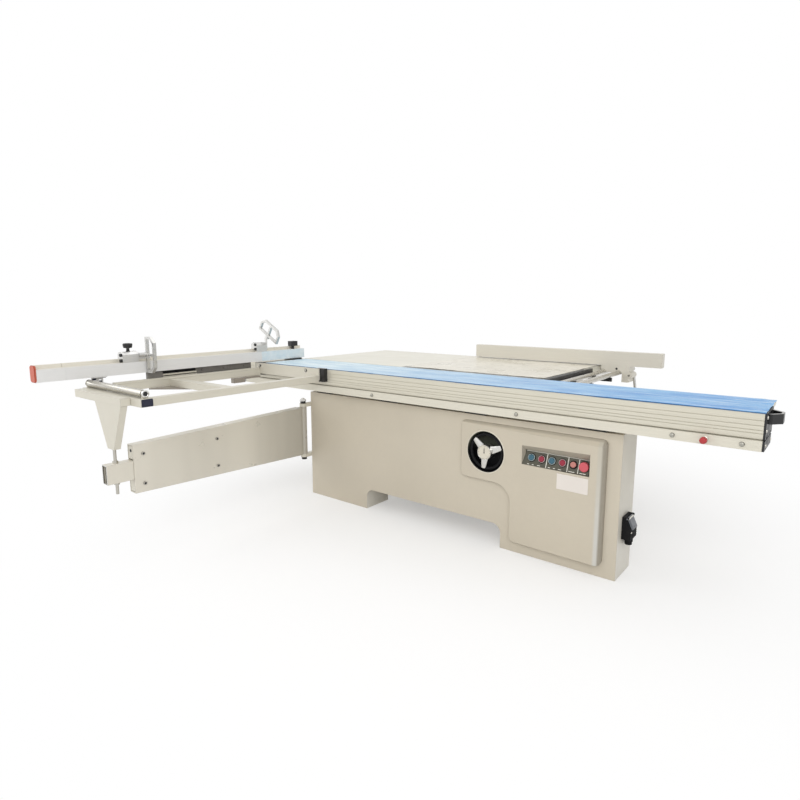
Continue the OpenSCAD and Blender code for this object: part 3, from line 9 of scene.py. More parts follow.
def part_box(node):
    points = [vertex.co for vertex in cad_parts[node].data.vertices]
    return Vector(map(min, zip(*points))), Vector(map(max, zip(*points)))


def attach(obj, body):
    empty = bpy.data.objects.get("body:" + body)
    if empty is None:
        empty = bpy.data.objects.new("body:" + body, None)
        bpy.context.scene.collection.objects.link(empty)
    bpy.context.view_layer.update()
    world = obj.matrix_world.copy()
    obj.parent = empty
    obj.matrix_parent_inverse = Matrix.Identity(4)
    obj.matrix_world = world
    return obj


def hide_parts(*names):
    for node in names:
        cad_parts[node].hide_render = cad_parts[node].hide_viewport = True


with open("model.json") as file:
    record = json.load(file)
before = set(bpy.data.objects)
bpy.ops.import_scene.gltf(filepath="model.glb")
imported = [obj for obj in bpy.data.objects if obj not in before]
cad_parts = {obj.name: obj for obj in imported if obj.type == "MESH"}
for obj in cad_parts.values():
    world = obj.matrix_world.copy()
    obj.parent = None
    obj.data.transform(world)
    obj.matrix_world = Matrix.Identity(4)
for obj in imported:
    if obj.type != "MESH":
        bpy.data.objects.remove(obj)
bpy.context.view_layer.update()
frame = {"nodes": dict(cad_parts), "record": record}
scene = bpy.context.scene
scene.view_settings.view_transform = "Standard"
X, Y, Z = 0, 1, 2

# Camera at the photograph's viewing angle
AZIMUTH, ELEVATION = math.radians(38.591), math.radians(8.926)
CAMERA_PLACE = (1.842, -3.084, 1.285)
CAMERA_LENS, CAMERA_SENSOR = 25.7525, 36
CAMERA_SHIFT_X, CAMERA_SHIFT_Y = 0.00212, -0.0093


def make_camera():
    level = math.cos(ELEVATION)
    back = Vector((
        math.sin(AZIMUTH) * level,
        -math.cos(AZIMUTH) * level,
        math.sin(ELEVATION),
    ))
    right = Vector((math.cos(AZIMUTH), math.sin(AZIMUTH), 0))
    up = back.cross(right)
    data = bpy.data.cameras.new("camera")
    data.sensor_width = CAMERA_SENSOR
    data.lens = CAMERA_LENS
    data.shift_x, data.shift_y = CAMERA_SHIFT_X, CAMERA_SHIFT_Y
    data.dof.use_dof = False
    cam = bpy.data.objects.new("camera", data)
    turn = Matrix((right, up, back)).transposed().to_4x4()
    cam.matrix_world = Matrix.Translation(CAMERA_PLACE) @ turn
    scene.collection.objects.link(cam)
    scene.camera = cam


# Light: a soft sky and area lamps, each with its name, place, aim, size and power
WHITE = (1, 1, 1, 1)
SKY_COLOR, SKY_STRENGTH = (1, 0.99, 0.975, 1), 0.66
LAMPS = (
    ("key", (3.4, -5.2, 4.4), (0.2, -0.4, 0.5), 4, 134),
    ("fill", (-4.8, -4, 3), (-0.6, -0.8, 0.6), 4, 78),
    ("top", (0, 0.5, 5.5), (0, 0, 0.8), 5, 62),
)


def make_lamps():
    for name, place, aim, size, power in LAMPS:
        data = bpy.data.lights.new(name, "AREA")
        data.energy = power
        data.size = size
        lamp = bpy.data.objects.new(name, data)
        lamp.location = place
        lamp.rotation_euler = (Vector(aim) - Vector(place)).to_track_quat("-Z", "Y").to_euler()
        scene.collection.objects.link(lamp)


def seen_rays(tree):
    """Rays that see the background straight on, in a gloss or through something."""
    path = tree.nodes.new("ShaderNodeLightPath")
    value = path.outputs["Is Camera Ray"]
    for name in ("Is Glossy Ray", "Is Transmission Ray"):
        both = tree.nodes.new("ShaderNodeMath")
        both.operation = "MAXIMUM"
        tree.links.new(value, both.inputs[0])
        tree.links.new(path.outputs[name], both.inputs[1])
        value = both.outputs[0]
    return value


def make_world():
    world = bpy.data.worlds.new("studio")
    scene.world = world
    world.use_nodes = True
    tree = world.node_tree
    link = tree.links.new
    sky = tree.nodes["Background"]
    sky.inputs["Color"].default_value = SKY_COLOR
    sky.inputs["Strength"].default_value = SKY_STRENGTH
    seen = tree.nodes.new("ShaderNodeBackground")
    seen.inputs["Color"].default_value = WHITE
    both = tree.nodes.new("ShaderNodeMixShader")
    link(seen_rays(tree), both.inputs[0])
    link(sky.outputs[0], both.inputs[1])
    link(seen.outputs[0], both.inputs[2])
    link(both.outputs[0], tree.nodes["World Output"].inputs["Surface"])


# Materials
MIX_A, MIX_B, MIX_COLOR = 6, 7, 2  # the Mix node's sockets for colours


class Shader:
    """A principled material with a few helpers for its detail."""

    def __init__(self, name, color, rough, metal=0, **sockets):
        self.mat = bpy.data.materials.new(name)
        self.mat.use_nodes = True
        self.tree = self.mat.node_tree
        self.out = self.tree.nodes["Principled BSDF"]
        self.out.inputs["Base Color"].default_value = (*color, 1)
        self.out.inputs["Roughness"].default_value = rough
        self.out.inputs["Metallic"].default_value = metal
        for key, value in sockets.items():
            self.out.inputs[key.replace("_", " ")].default_value = value
        self.normal = None

    def node(self, kind, **values):
        made = self.tree.nodes.new(kind)
        for key, value in values.items():
            made.inputs[key.replace("_", " ")].default_value = value
        return made

    def link(self, a, b):
        self.tree.links.new(a, b)

    def where(self, scale=(1, 1, 1)):
        place = self.node("ShaderNodeTexCoord")
        move = self.node("ShaderNodeMapping", Scale=scale)
        self.link(place.outputs["Object"], move.inputs["Vector"])
        return move.outputs["Vector"]

    def part(self, vector, axis):
        parts = self.node("ShaderNodeSeparateXYZ")
        self.link(vector, parts.inputs[0])
        return parts.outputs[axis]

    def along(self, axis):
        """The place along X, Y or Z in the part's frame."""
        return self.part(self.where(), axis)

    def facing(self, axis):
        """How far the surface looks along X, Y or Z."""
        return self.part(self.node("ShaderNodeNewGeometry").outputs["Normal"], axis)

    def noise(self, scale, detail=3, stretch=(1, 1, 1), rough=0.55):
        made = self.node("ShaderNodeTexNoise", Scale=scale, Detail=detail, Roughness=rough)
        self.link(self.where(stretch), made.inputs["Vector"])
        return made.outputs["Fac"]

    def spread(self, value, low, high, a=0, b=1):
        made = self.node("ShaderNodeMapRange", From_Min=low, From_Max=high, To_Min=a, To_Max=b)
        self.link(value, made.inputs["Value"])
        return made.outputs["Result"]

    def even(self, value, a=0, b=1):
        """The usual range of a noise, spread from a to b."""
        return self.spread(value, 0.3, 0.7, a, b)

    def math(self, how, a, b):
        made = self.node("ShaderNodeMath")
        made.operation = how
        self.link(a, made.inputs[0])
        self.link(b, made.inputs[1])
        return made.outputs[0]

    def mix(self, fac, a, b):
        made = self.node("ShaderNodeMix")
        made.data_type = "RGBA"
        for socket, value in ((made.inputs[MIX_A], a), (made.inputs[MIX_B], b)):
            if isinstance(value, tuple):
                socket.default_value = (*value, 1)
            else:
                self.link(value, socket)
        self.link(fac, made.inputs[0])
        return made.outputs[MIX_COLOR]

    def paint(self, value):
        self.link(value, self.out.inputs["Base Color"])

    def gloss(self, value):
        self.link(value, self.out.inputs["Roughness"])

    def round_edges(self, radius):
        made = self.node("ShaderNodeBevel", Radius=radius)
        made.samples = 4
        self.normal = made.outputs["Normal"]
        self.link(self.normal, self.out.inputs["Normal"])

    def bump(self, height, strength, distance):
        made = self.node("ShaderNodeBump", Strength=strength, Distance=distance)
        self.link(height, made.inputs["Height"])
        if self.normal is not None:
            self.link(self.normal, made.inputs["Normal"])
        self.normal = made.outputs["Normal"]
        self.link(self.normal, self.out.inputs["Normal"])


# Pale floor that fades to the white of the background away from the object
FLOOR_HALF, FLOOR_DROP = 60, 0.0005
FLOOR_COLOR, FLOOR_ROUGH, FLOOR_SHINE = (0.95, 0.95, 0.95), 0.9, 0.1
FLOOR_FADE = {"From_Min": 0.9, "From_Max": 2.6, "To_Min": 0.35, "To_Max": 1}


def make_floor():
    mesh = bpy.data.meshes.new("floor")
    corners = [(x * FLOOR_HALF, y * FLOOR_HALF, 0) for x, y in ((-1, -1), (1, -1), (1, 1), (-1, 1))]
    mesh.from_pydata(corners, [], [(0, 1, 2, 3)])
    floor = bpy.data.objects.new("floor", mesh)
    floor.location.z = -FLOOR_DROP
    scene.collection.objects.link(floor)
    s = Shader("floor", FLOOR_COLOR, FLOOR_ROUGH, Specular_IOR_Level=FLOOR_SHINE)
    far = s.node("ShaderNodeVectorMath")
    far.operation = "LENGTH"
    s.link(s.where(), far.inputs[0])
    fade = s.node("ShaderNodeMapRange", **FLOOR_FADE)
    fade.interpolation_type = "SMOOTHSTEP"
    s.link(far.outputs["Value"], fade.inputs["Value"])
    white = s.node("ShaderNodeEmission")
    mix = s.node("ShaderNodeMixShader")
    s.link(s.math("MULTIPLY", fade.outputs["Result"], seen_rays(s.tree)), mix.inputs[0])
    s.link(s.out.outputs[0], mix.inputs[1])
    s.link(white.outputs[0], mix.inputs[2])
    s.link(mix.outputs[0], s.tree.nodes["Material Output"].inputs["Surface"])
    mesh.materials.append(s.mat)


PEEL = 900           # scale of the orange peel on sprayed paint
SOIL = 0.06          # how far soil darkens paint
METAL_EDGE = 0.0004  # rounding of edges on bare metal


def shade(color, k):
    return tuple(min(1, c * k) for c in color)


def run(axis, length, width):
    """Noise scales for lines that run along one axis."""
    return tuple(length if i == axis else width for i in (X, Y, Z))


def powder_coat(name, color, rough=0.42, edge=0.0025, painted_light=None):
    """Sprayed paint on sheet: fine orange peel, slow tone changes and faint soil."""
    s = Shader(name, color, rough, Coat_Weight=0.12, Coat_Roughness=0.35)
    s.round_edges(edge)
    slow = s.noise(1.7, 4)
    fine = s.noise(38, 3)
    tone = s.mix(s.even(slow), shade(color, 1 - SOIL), shade(color, 1 + 0.4 * SOIL))
    # An optional helper paints light and shade into the tone here
    if painted_light:
        tone = painted_light(s, tone, color)
    s.paint(s.mix(s.spread(fine, 0.35, 0.75, 0, 0.12), tone, shade(color, 0.86)))
    s.gloss(s.even(s.noise(9, 5), rough - 0.07, rough + 0.08))
    s.bump(s.noise(PEEL, 2), 0.16, 0.0004)
    return s.mat


# Heights over which painted shade darkens the cabinet's end faces towards the top
END_SHADE_Z = (0.12, 0.62)


def end_light_and_shade(s, tone, _color):
    """Painted light on the cabinet's end faces: paler and greyer than the front, palest low down,
    with painted shade darkening them towards the top under the rail.
    """
    end = s.mix(s.spread(s.along(Z), *END_SHADE_Z), (0.67, 0.645, 0.58), (0.55, 0.52, 0.445))
    return s.mix(s.spread(s.facing(X), 0.7, 0.9), tone, end)


# Where the cover's painted sheen and painted shade fall
BEVEL_X, BEVEL_LIGHT_Z = (0.966, 0.976), (0.2, 0.6)
EDGE_SHADE_X, TOP_SHADE_Z = (0.986, 0.994), (0.652, 0.659)
RECESS_SHADE_X = (0.66, 0.64)


def cover_light_and_shade(s, tone, color):
    """Painted light and shade on the cover: a pale grey painted sheen on the bevel, darker towards
    the top, and painted shade along the bevel's outer edge, under the top edge, on faces that look
    down and on the left wall of the panel's recess.
    """
    x, z = s.along(X), s.along(Z)
    bevel = s.mix(s.spread(z, *BEVEL_LIGHT_Z), (0.59, 0.58, 0.54), (0.52, 0.485, 0.405))
    tone = s.mix(s.spread(x, *BEVEL_X), tone, bevel)
    tone = s.mix(s.spread(x, *EDGE_SHADE_X), tone, shade(color, 0.52))
    tone = s.mix(s.spread(z, *TOP_SHADE_Z, 0, 0.75), tone, shade(color, 0.62))
    under = s.spread(s.facing(Z), -0.2, -0.5, 0, 0.85)
    side = s.math("MULTIPLY", s.spread(s.facing(X), 0.3, 0.5), s.spread(x, *RECESS_SHADE_X))
    return s.mix(s.math("MAXIMUM", under, side), tone, shade(color, 0.6))


# Where painted shade darkens the arm towards its hinge end
ARM_SHADE_Y = (-0.98, -0.6)


def arm_coat(name, color):
    """Satin paint on the arm's plates, with painted reflections as wide soft darker stripes and
    painted shade darkening the end at the hinge.
    """
    s = Shader(name, color, 0.33, 0.2, Coat_Weight=0.2, Coat_Roughness=0.3)
    s.round_edges(0.003)
    hinge = s.spread(s.along(Y), *ARM_SHADE_Y)
    reflection_bands = s.noise(4.2, 2, (0.2, 1, 0.12), 0.4)
    tone = s.mix(s.spread(reflection_bands, 0.42, 0.62), color, shade(color, 0.92))
    dark = s.math("MULTIPLY", hinge, s.spread(reflection_bands, 0.3, 0.65, 0.55, 1))
    s.paint(s.mix(dark, tone, shade(color, 0.5)))
    s.gloss(s.even(s.noise(9, 5), 0.26, 0.42))
    s.bump(s.noise(PEEL, 2), 0.12, 0.0004)
    return s.mat


def drawn_alloy(name, color, rough, metal):
    """Extruded aluminium with fine draw lines along its length."""
    s = Shader(name, color, rough, metal)
    s.round_edges(METAL_EDGE)
    lines = s.noise(6, 5, run(X, 0.6, 90), 0.6)
    slow = s.noise(2.2, 3)
    tone = s.mix(s.even(lines), shade(color, 0.93), shade(color, 1.04))
    s.paint(s.mix(s.spread(slow, 0.35, 0.7, 0, 0.25), tone, shade(color, 0.93)))
    s.gloss(s.even(lines, rough - 0.08, rough + 0.1))
    s.bump(lines, 0.025, 0.0003)
    return s.mat


TORN_Y, STRIP_Z = (-0.566, -0.56), (0.9478, 0.9486)


def fence_alloy(name, color):
    """Fence profile: silver face, cream strip above it, bluish film left on the pivot end."""
    s = Shader(name, color, 0.34, 0.2)
    s.round_edges(METAL_EDGE)
    lines = s.noise(6, 5, run(Y, 0.6, 90), 0.6)
    tone = s.mix(s.even(lines), shade(color, 0.97), shade(color, 1.02))
    torn = s.spread(s.noise(60, 3, (1, 1, 0.4)), 0, 1, -0.012, 0.012)
    edge = s.math("ADD", s.along(Y), torn)
    film = s.math("MULTIPLY", s.spread(edge, *TORN_Y), s.spread(s.facing(X), 0.4, 0.6))
    blue = s.mix(s.even(s.noise(30, 4)), (0.66, 0.77, 0.83), (0.78, 0.84, 0.87))
    tone = s.mix(film, tone, blue)
    top = s.spread(s.facing(Z), 0.6, 0.8)
    cream = s.mix(s.even(lines), (0.78, 0.747, 0.663), (0.8, 0.77, 0.688))
    s.paint(s.mix(s.math("MAXIMUM", top, s.spread(s.along(Z), *STRIP_Z)), tone, cream))
    s.gloss(s.even(s.noise(5, 3), 0.3, 0.44))
    s.bump(lines, 0.025, 0.0003)
    return s.mat


def bright_metal(name, color, rough, axis=X):
    """Turned or ground steel with fine lines along one axis."""
    s = Shader(name, color, rough, 0.95)
    s.round_edges(METAL_EDGE)
    lines = s.noise(9, 4, run(axis, 0.8, 70))
    s.paint(s.mix(s.even(lines), shade(color, 0.9), shade(color, 1.04)))
    s.gloss(s.even(s.noise(14, 4), rough - 0.07, rough + 0.12))
    s.bump(lines, 0.04, 0.0002)
    return s.mat


def moulded(name, color, rough, lift=1.5, shine=0.45, spark=700):
    """Moulded plastic with a spark texture and rubbed, lighter patches."""
    s = Shader(name, color, rough, Specular_IOR_Level=shine)
    s.round_edges(0.0015)
    slow = s.noise(7, 4)
    s.paint(s.mix(s.spread(slow, 0.4, 0.75, 0, 0.6), color, shade(color, lift)))
    s.gloss(s.even(s.noise(22, 4), rough - 0.1, rough + 0.12))
    s.bump(s.noise(spark, 2), 0.2, 0.0003)
    return s.mat


def grip_plastic(name, color, top_highlight):
    """Black moulding whose upper faces are painted grey in patches, as a painted reflection of the
    light above.
    """
    s = Shader(name, color, 0.34)
    s.round_edges(0.002)
    patches = s.spread(s.noise(40, 4), 0.3, 0.6, 0.55, 1)
    painted_light = s.math("MULTIPLY", s.spread(s.facing(Z), 0.55, 0.85), patches)
    s.paint(s.mix(painted_light, color, top_highlight))
    s.gloss(s.even(s.noise(22, 4), 0.26, 0.46))
    s.bump(s.noise(600, 2), 0.2, 0.0003)
    return s.mat


# Heights over which the bowl's upper half gets its painted reflection
BOWL_SHEEN_Z = (0.5, 0.54)


def bowl_with_painted_sheen(name):
    """Black bowl behind the wheel, with a painted grey-green reflection on its upper half."""
    s = Shader(name, (0.008, 0.008, 0.009), 0.6, Specular_IOR_Level=0.2)
    s.round_edges(0.0015)
    patches = s.spread(s.noise(30, 4), 0.2, 0.6, 0.6, 1)
    bowl_sheen = s.math("MULTIPLY", s.spread(s.along(Z), *BOWL_SHEEN_Z), patches)
    s.paint(s.mix(bowl_sheen, (0.006, 0.006, 0.007), (0.085, 0.09, 0.068)))
    s.bump(s.noise(500, 2), 0.2, 0.0003)
    return s.mat


def cast_metal(name, color, rough):
    """Cast iron with a coarse skin."""
    s = Shader(name, color, rough, 0.5)
    s.round_edges(0.002)
    skin = s.noise(240, 4)
    s.paint(s.mix(s.even(skin), shade(color, 0.82), shade(color, 1.1)))
    s.gloss(s.even(s.noise(17, 4), rough - 0.1, rough + 0.15))
    s.bump(skin, 0.25, 0.0006)
    return s.mat


FILM_FADE_X = (-0.9, 1.1)


def blue_film(name):
    """Thin blue film, paler at the far end, with white stripes of painted highlight running along
    the carriage where the film lies slack.
    """
    s = Shader(name, (0.2, 0.45, 0.8), 0.34, Specular_IOR_Level=0.16)
    near = s.spread(s.along(X), *FILM_FADE_X)
    highlight_streaks = s.noise(5, 6, (0.9, 17, 1), 0.62)
    patches = s.noise(3.2, 5, (1, 4, 1), 0.6)
    deep = s.mix(near, (0.44, 0.62, 0.74), (0.085, 0.29, 0.64))
    light = s.mix(near, (0.7, 0.82, 0.87), (0.21, 0.47, 0.76))
    blue = s.mix(s.spread(patches, 0.34, 0.66), deep, light)
    # White stripes of painted highlight along the film
    pale = s.mix(s.spread(highlight_streaks, 0.53, 0.76), blue, (0.84, 0.91, 0.95))
    dark = s.noise(7, 4, (0.8, 24, 1), 0.5)
    flat = s.mix(s.spread(dark, 0.6, 0.74, 0, 0.6), pale, (0.07, 0.25, 0.55))
    hang = s.spread(s.facing(Y), -0.75, -0.45, 1, 0)
    s.paint(s.mix(hang, flat, (0.025, 0.1, 0.25)))
    s.gloss(s.even(highlight_streaks, 0.26, 0.46))
    s.bump(s.noise(16, 5, (1, 6, 1)), 0.35, 0.003)
    return s.mat


def bubble_wrap(name):
    """Milky wrap with rows of small bubbles, and painted shade darkening it along crease lines."""
    s = Shader(name, (0.8, 0.76, 0.66), 0.34, Coat_Weight=0.25, Coat_Roughness=0.2)
    cells = s.node("ShaderNodeTexVoronoi", Scale=70, Randomness=0.25)
    s.link(s.where(), cells.inputs["Vector"])
    dots = s.spread(cells.outputs["Distance"], 0.1, 0.55, 1, 0)
    slow = s.noise(5, 4)
    crease_shade = s.noise(26, 5, (1, 1, 1), 0.7)
    tone = s.mix(s.even(slow), (0.6, 0.56, 0.45), (0.78, 0.74, 0.64))
    # Painted shade along crease lines
    tone = s.mix(s.spread(crease_shade, 0.5, 0.64, 0, 0.48), tone, (0.42, 0.385, 0.3))
    s.paint(s.mix(s.spread(dots, 0.1, 0.9, 0, 0.5), tone, (0.86, 0.84, 0.77)))
    s.gloss(s.even(slow, 0.22, 0.48))
    s.bump(dots, 0.5, 0.003)
    return s.mat


# Looks of the record's material slots: the helper and what it takes after the name
PALETTE = {
    "cabinet_paint": (powder_coat, (0.58, 0.525, 0.425), 0.42, 0.0025, end_light_and_shade),
    "cover_paint": (powder_coat, (0.565, 0.51, 0.41), 0.42, 0.004, cover_light_and_shade),
    "frame_paint": (powder_coat, (0.66, 0.63, 0.54), 0.38),
    "arm_paint": (arm_coat, (0.69, 0.655, 0.57)),
    "panel_grey": (moulded, (0.088, 0.085, 0.065), 0.55, 1.5, 0.3),
    "black_plastic": (moulded, (0.012, 0.012, 0.013), 0.42),
    "black_metal": (moulded, (0.014, 0.014, 0.015), 0.35),
    "rail_alu": (drawn_alloy, (0.69, 0.66, 0.565), 0.46, 0.05),
    "carriage_alu": (drawn_alloy, (0.66, 0.63, 0.53), 0.38, 0.15),
    "fence_alu": (fence_alloy, (0.77, 0.77, 0.765)),
    "rip_alu": (drawn_alloy, (0.7, 0.67, 0.59), 0.42, 0.1),
    "bright_steel": (bright_metal, (0.54, 0.52, 0.47), 0.27),
    "table_iron": (cast_metal, (0.46, 0.46, 0.44), 0.4),
    "table_paint": (powder_coat, (0.74, 0.72, 0.63), 0.4),
    "wrap_film": (bubble_wrap,),
    "scale_black": (moulded, (0.012, 0.012, 0.014), 0.35),
    "saw_iron": (cast_metal, (0.13, 0.135, 0.14), 0.55),
    "motor_paint": (powder_coat, (0.07, 0.11, 0.17)),
    "belt_rubber": (moulded, (0.014, 0.014, 0.015), 0.7, 1.5, 0.45, 300),
    "blade_steel": (bright_metal, (0.56, 0.57, 0.58), 0.28),
    "red_plastic": (moulded, (0.42, 0.035, 0.04), 0.28, 1.15),
    "cap_red": (moulded, (0.52, 0.105, 0.06), 0.42, 1.2),
    "blue_plastic": (moulded, (0.035, 0.115, 0.165), 0.32, 1.2),
    "wheel_metal": (bright_metal, (0.68, 0.67, 0.64), 0.26),
}
# Finer looks, with the slot that each belongs to first
EXTRA = {
    # The handle's black, with a grey painted highlight on its upper faces
    "handle_grip": ("black_plastic", grip_plastic, (0.012, 0.012, 0.013), (0.34, 0.335, 0.32)),
    "dial_cream": ("cover_paint", moulded, (0.66, 0.62, 0.52), 0.35, 1.1),
    "pale_plate": ("cover_paint", moulded, (0.74, 0.69, 0.64), 0.45, 1.08),
    "bezel_blue": ("blue_plastic", moulded, (0.5, 0.6, 0.62), 0.3, 1.15),
    "bezel_pink": ("red_plastic", moulded, (0.66, 0.5, 0.49), 0.3, 1.15),
    "line_white": ("cover_paint", moulded, (0.76, 0.74, 0.67), 0.4, 1.08),
    "dull_grey": ("saw_iron", cast_metal, (0.2, 0.19, 0.175), 0.6),
    "navy_plug": ("black_plastic", moulded, (0.012, 0.014, 0.035), 0.4),
    "polished": ("bright_steel", bright_metal, (0.72, 0.71, 0.69), 0.16, Z),
    "stop_steel": ("bright_steel", bright_metal, (0.66, 0.655, 0.64), 0.32, Y),
    "finger_steel": ("bright_steel", bright_metal, (0.6, 0.595, 0.575), 0.26, Z),
    "matte_black": ("black_plastic", moulded, (0.006, 0.006, 0.007), 0.6, 1.5, 0.16, 500),
    "bowl_black": ("black_plastic", bowl_with_painted_sheen),
    "stop_red": ("red_plastic", moulded, (0.28, 0.018, 0.04), 0.32, 1.2),
    "reset_rose": ("red_plastic", moulded, (0.5, 0.2, 0.17), 0.35, 1.15),
    "estop_rose": ("red_plastic", moulded, (0.55, 0.09, 0.11), 0.24, 1.35),
    # The rail wiper's darker taupe, as painted shade under the carriage
    "wiper_shade": ("grey_plastic", moulded, (0.3, 0.28, 0.225), 0.6),
    "plate_taupe": ("frame_paint", powder_coat, (0.3, 0.265, 0.225)),
    # The dark colour of the painted shade inside the arm's tube
    "tube_dark": ("frame_paint", moulded, (0.085, 0.076, 0.05), 0.6, 1.5, 0.45, 200),
    "bolt_grey": ("bright_steel", bright_metal, (0.42, 0.41, 0.365), 0.3),
    "lid_grey": ("grey_plastic", moulded, (0.15, 0.158, 0.178), 0.36, 1.12),
    "blue_film": ("wrap_film", blue_film),
}
# CAD nodes that get a finer look than their slot's
OWN_LOOK = {
    "push_handle": "handle_grip", "wheel_bowl": "bowl_black", "rip_lever": "finger_steel",
    "stop_finger_near": "finger_steel", "stop_finger_far": "finger_steel",
    "stop_block_near": "stop_steel", "stop_block_far": "stop_steel",
    "main_stop": "stop_red", "scoring_stop": "stop_red",
    "reset_button": "reset_rose", "emergency_stop": "estop_rose",
    "inlet_lid": "lid_grey", "power_inlet": "matte_black",
}
SLOT = {entry["node"]: entry["material_slot"] for entry in frame["record"]["subparts"]}
MATS = {}


def material(name):
    if name not in MATS:
        make, *values = PALETTE[name] if name in PALETTE else EXTRA[name][1:]
        MATS[name] = make(name, *values)
    return MATS[name]


def dress_nodes():
    for name, obj in frame["nodes"].items():
        obj.data.materials.clear()
        obj.data.materials.append(material(OWN_LOOK.get(name, SLOT[name])))


# Mesh helpers: every piece is given in metres in the part's own frame
BEVEL_ANGLE = 0.5  # radians; flatter edges stay as they are
BOX_FACES = ((0, 1, 3, 2), (4, 6, 7, 5), (0, 4, 5, 1), (2, 3, 7, 6), (0, 2, 6, 4), (1, 5, 7, 3))


def piece(name, bm, body, mat, smooth=40, bevel=0, segments=2):
    mesh = bpy.data.meshes.new(name)
    bmesh.ops.recalc_face_normals(bm, faces=bm.faces)
    if bevel > 0:
        edges = [
            e for e in bm.edges
            if len(e.link_faces) == 2 and e.calc_face_angle(0) > BEVEL_ANGLE
        ]
        bmesh.ops.bevel(
            bm, geom=edges, offset=bevel, segments=segments, affect="EDGES", clamp_overlap=True)
    bm.to_mesh(mesh)
    bm.free()
    obj = bpy.data.objects.new(name, mesh)
    scene.collection.objects.link(obj)
    mesh.materials.append(material(mat))
    for face in mesh.polygons:
        face.use_smooth = True
    mesh.set_sharp_from_angle(angle=math.radians(smooth))
    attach(obj, body)
    return obj


def add_box(bm, lo, hi, place=None):
    corners = [(x, y, z) for x in (lo[0], hi[0]) for y in (lo[1], hi[1]) for z in (lo[2], hi[2])]
    v = [bm.verts.new(place(*c) if place else c) for c in corners]
    for face in BOX_FACES:
        bm.faces.new([v[i] for i in face])


def basis(at, out, right):
    """Frame at a point: its third axis looks along out and its first along right."""
    out, right = Vector(out).normalized(), Vector(right).normalized()
    up = out.cross(right)
    return Matrix.Translation(at) @ Matrix((right, up, out)).transposed().to_4x4()


def front(at):
    return basis(at, (0, -1, 0), (1, 0, 0))


def upward(at):
    return basis(at, (0, 0, 1), (1, 0, 0))


def sideways(at, side=1):
    """Frame that looks along X, or against it where side is -1."""
    return basis(at, (side, 0, 0), (0, 1, 0))


def mm(*pairs):
    """Pairs in millimetres, as metres."""
    return [(a / 1000, b / 1000) for a, b in pairs]


def circle(count):
    return [2 * math.pi * i / count for i in range(count)]


def rounded(half_u, half_v, r):
    """A rounded rectangle about the frame's axis."""
    loop = []
    for k, (u, v) in enumerate(((1, 1), (-1, 1), (-1, -1), (1, -1))):
        for i in range(5):
            a = math.pi / 2 * (k + i / 4)
            loop.append((u * (half_u - r) + r * math.cos(a), v * (half_v - r) + r * math.sin(a)))
    return loop


def add_turned(bm, at, outline, steps=36, wave=None):
    """A form turned about the frame's third axis, from (radius, height) pairs.

    An outline that starts on the axis gives a solid, any other a closed ring.
    """
    rows = []
    for r, h in outline:
        row = []
        for a in circle(steps) if r > 0 else [0]:
            k = r + (wave(a, r) if wave else 0)
            row.append(bm.verts.new(at @ Vector((k * math.cos(a), k * math.sin(a), h))))
        rows.append(row)
    if outline[0][0] > 0:
        rows.append(rows[0])
    for a, b in zip(rows, rows[1:]):
        for i in range(steps):
            j = (i + 1) % steps
            loop = [a[i % len(a)], a[j % len(a)], b[j % len(b)], b[i % len(b)]]
            loop = list(dict.fromkeys(loop))
            if len(loop) > 2:
                bm.faces.new(loop)


def add_wall(bm, a, b):
    """Faces between two closed loops of vertices."""
    for j in range(len(a)):
        k = (j + 1) % len(a)
        bm.faces.new((a[j], a[k], b[k], b[j]))


def add_skin(bm, sections):
    """A form open at both ends, through sections with the same number of points."""
    rows = [[bm.verts.new(p) for p in section] for section in sections]
    for a, b in zip(rows, rows[1:]):
        add_wall(bm, a, b)
    return rows


def add_loft(bm, sections):
    """The same form with its ends closed."""
    rows = add_skin(bm, sections)
    bm.faces.new(rows[0][::-1])
    bm.faces.new(rows[-1])


def add_prism(bm, outline, low, high, at):
    """A flat outline [(u, v)] between two heights of a frame."""
    add_loft(bm, [[at @ Vector((u, v, h)) for u, v in outline] for h in (low, high)])


def add_sheet(bm, grid):
    """Faces between the rows of a grid of points."""
    for a, b in zip(grid, grid[1:]):
        for j in range(len(a) - 1):
            bm.faces.new((a[j], b[j], b[j + 1], a[j + 1]))


def build(name, body, mat, forms, **looks):
    """A piece from forms, each a helper and what it takes after the mesh."""
    bm = bmesh.new()
    for add, *values in forms:
        add(bm, *values)
    return piece(name, bm, body, mat, **looks)


def turned(name, body, mat, places, outline, steps=36):
    """A piece with the same turned form at each frame."""
    return build(name, body, mat, [(add_turned, at, outline, steps) for at in places])


def boxes(name, body, mat, bevel, corners, place=None):
    """A piece of blocks with softened edges, each from its lowest and highest corner."""
    return build(name, body, mat, [(add_box, lo, hi, place) for lo, hi in corners], bevel=bevel)


def plates(name, body, mat, bevel, parts):
    """A piece of flat forms with softened edges, each as (outline, low, high, frame)."""
    return build(name, body, mat, [(add_prism, *part) for part in parts], bevel=bevel)


make_camera()
make_world()
make_floor()
make_lamps()
dress_nodes()


# Blue film on the carriage: slack ridges along it, hanging a little over the front edge
FILM_START, FILM_OVERHANG = -1.362, 0.004
FILM_STEPS_X, FILM_STEPS_Y = 420, 34
FILM_LOW, FILM_RIDGE, FILM_EDGE = 0.0012, 0.0034, 0.0008
FILM_END, FILM_END_LIFT = 0.25, 0.004


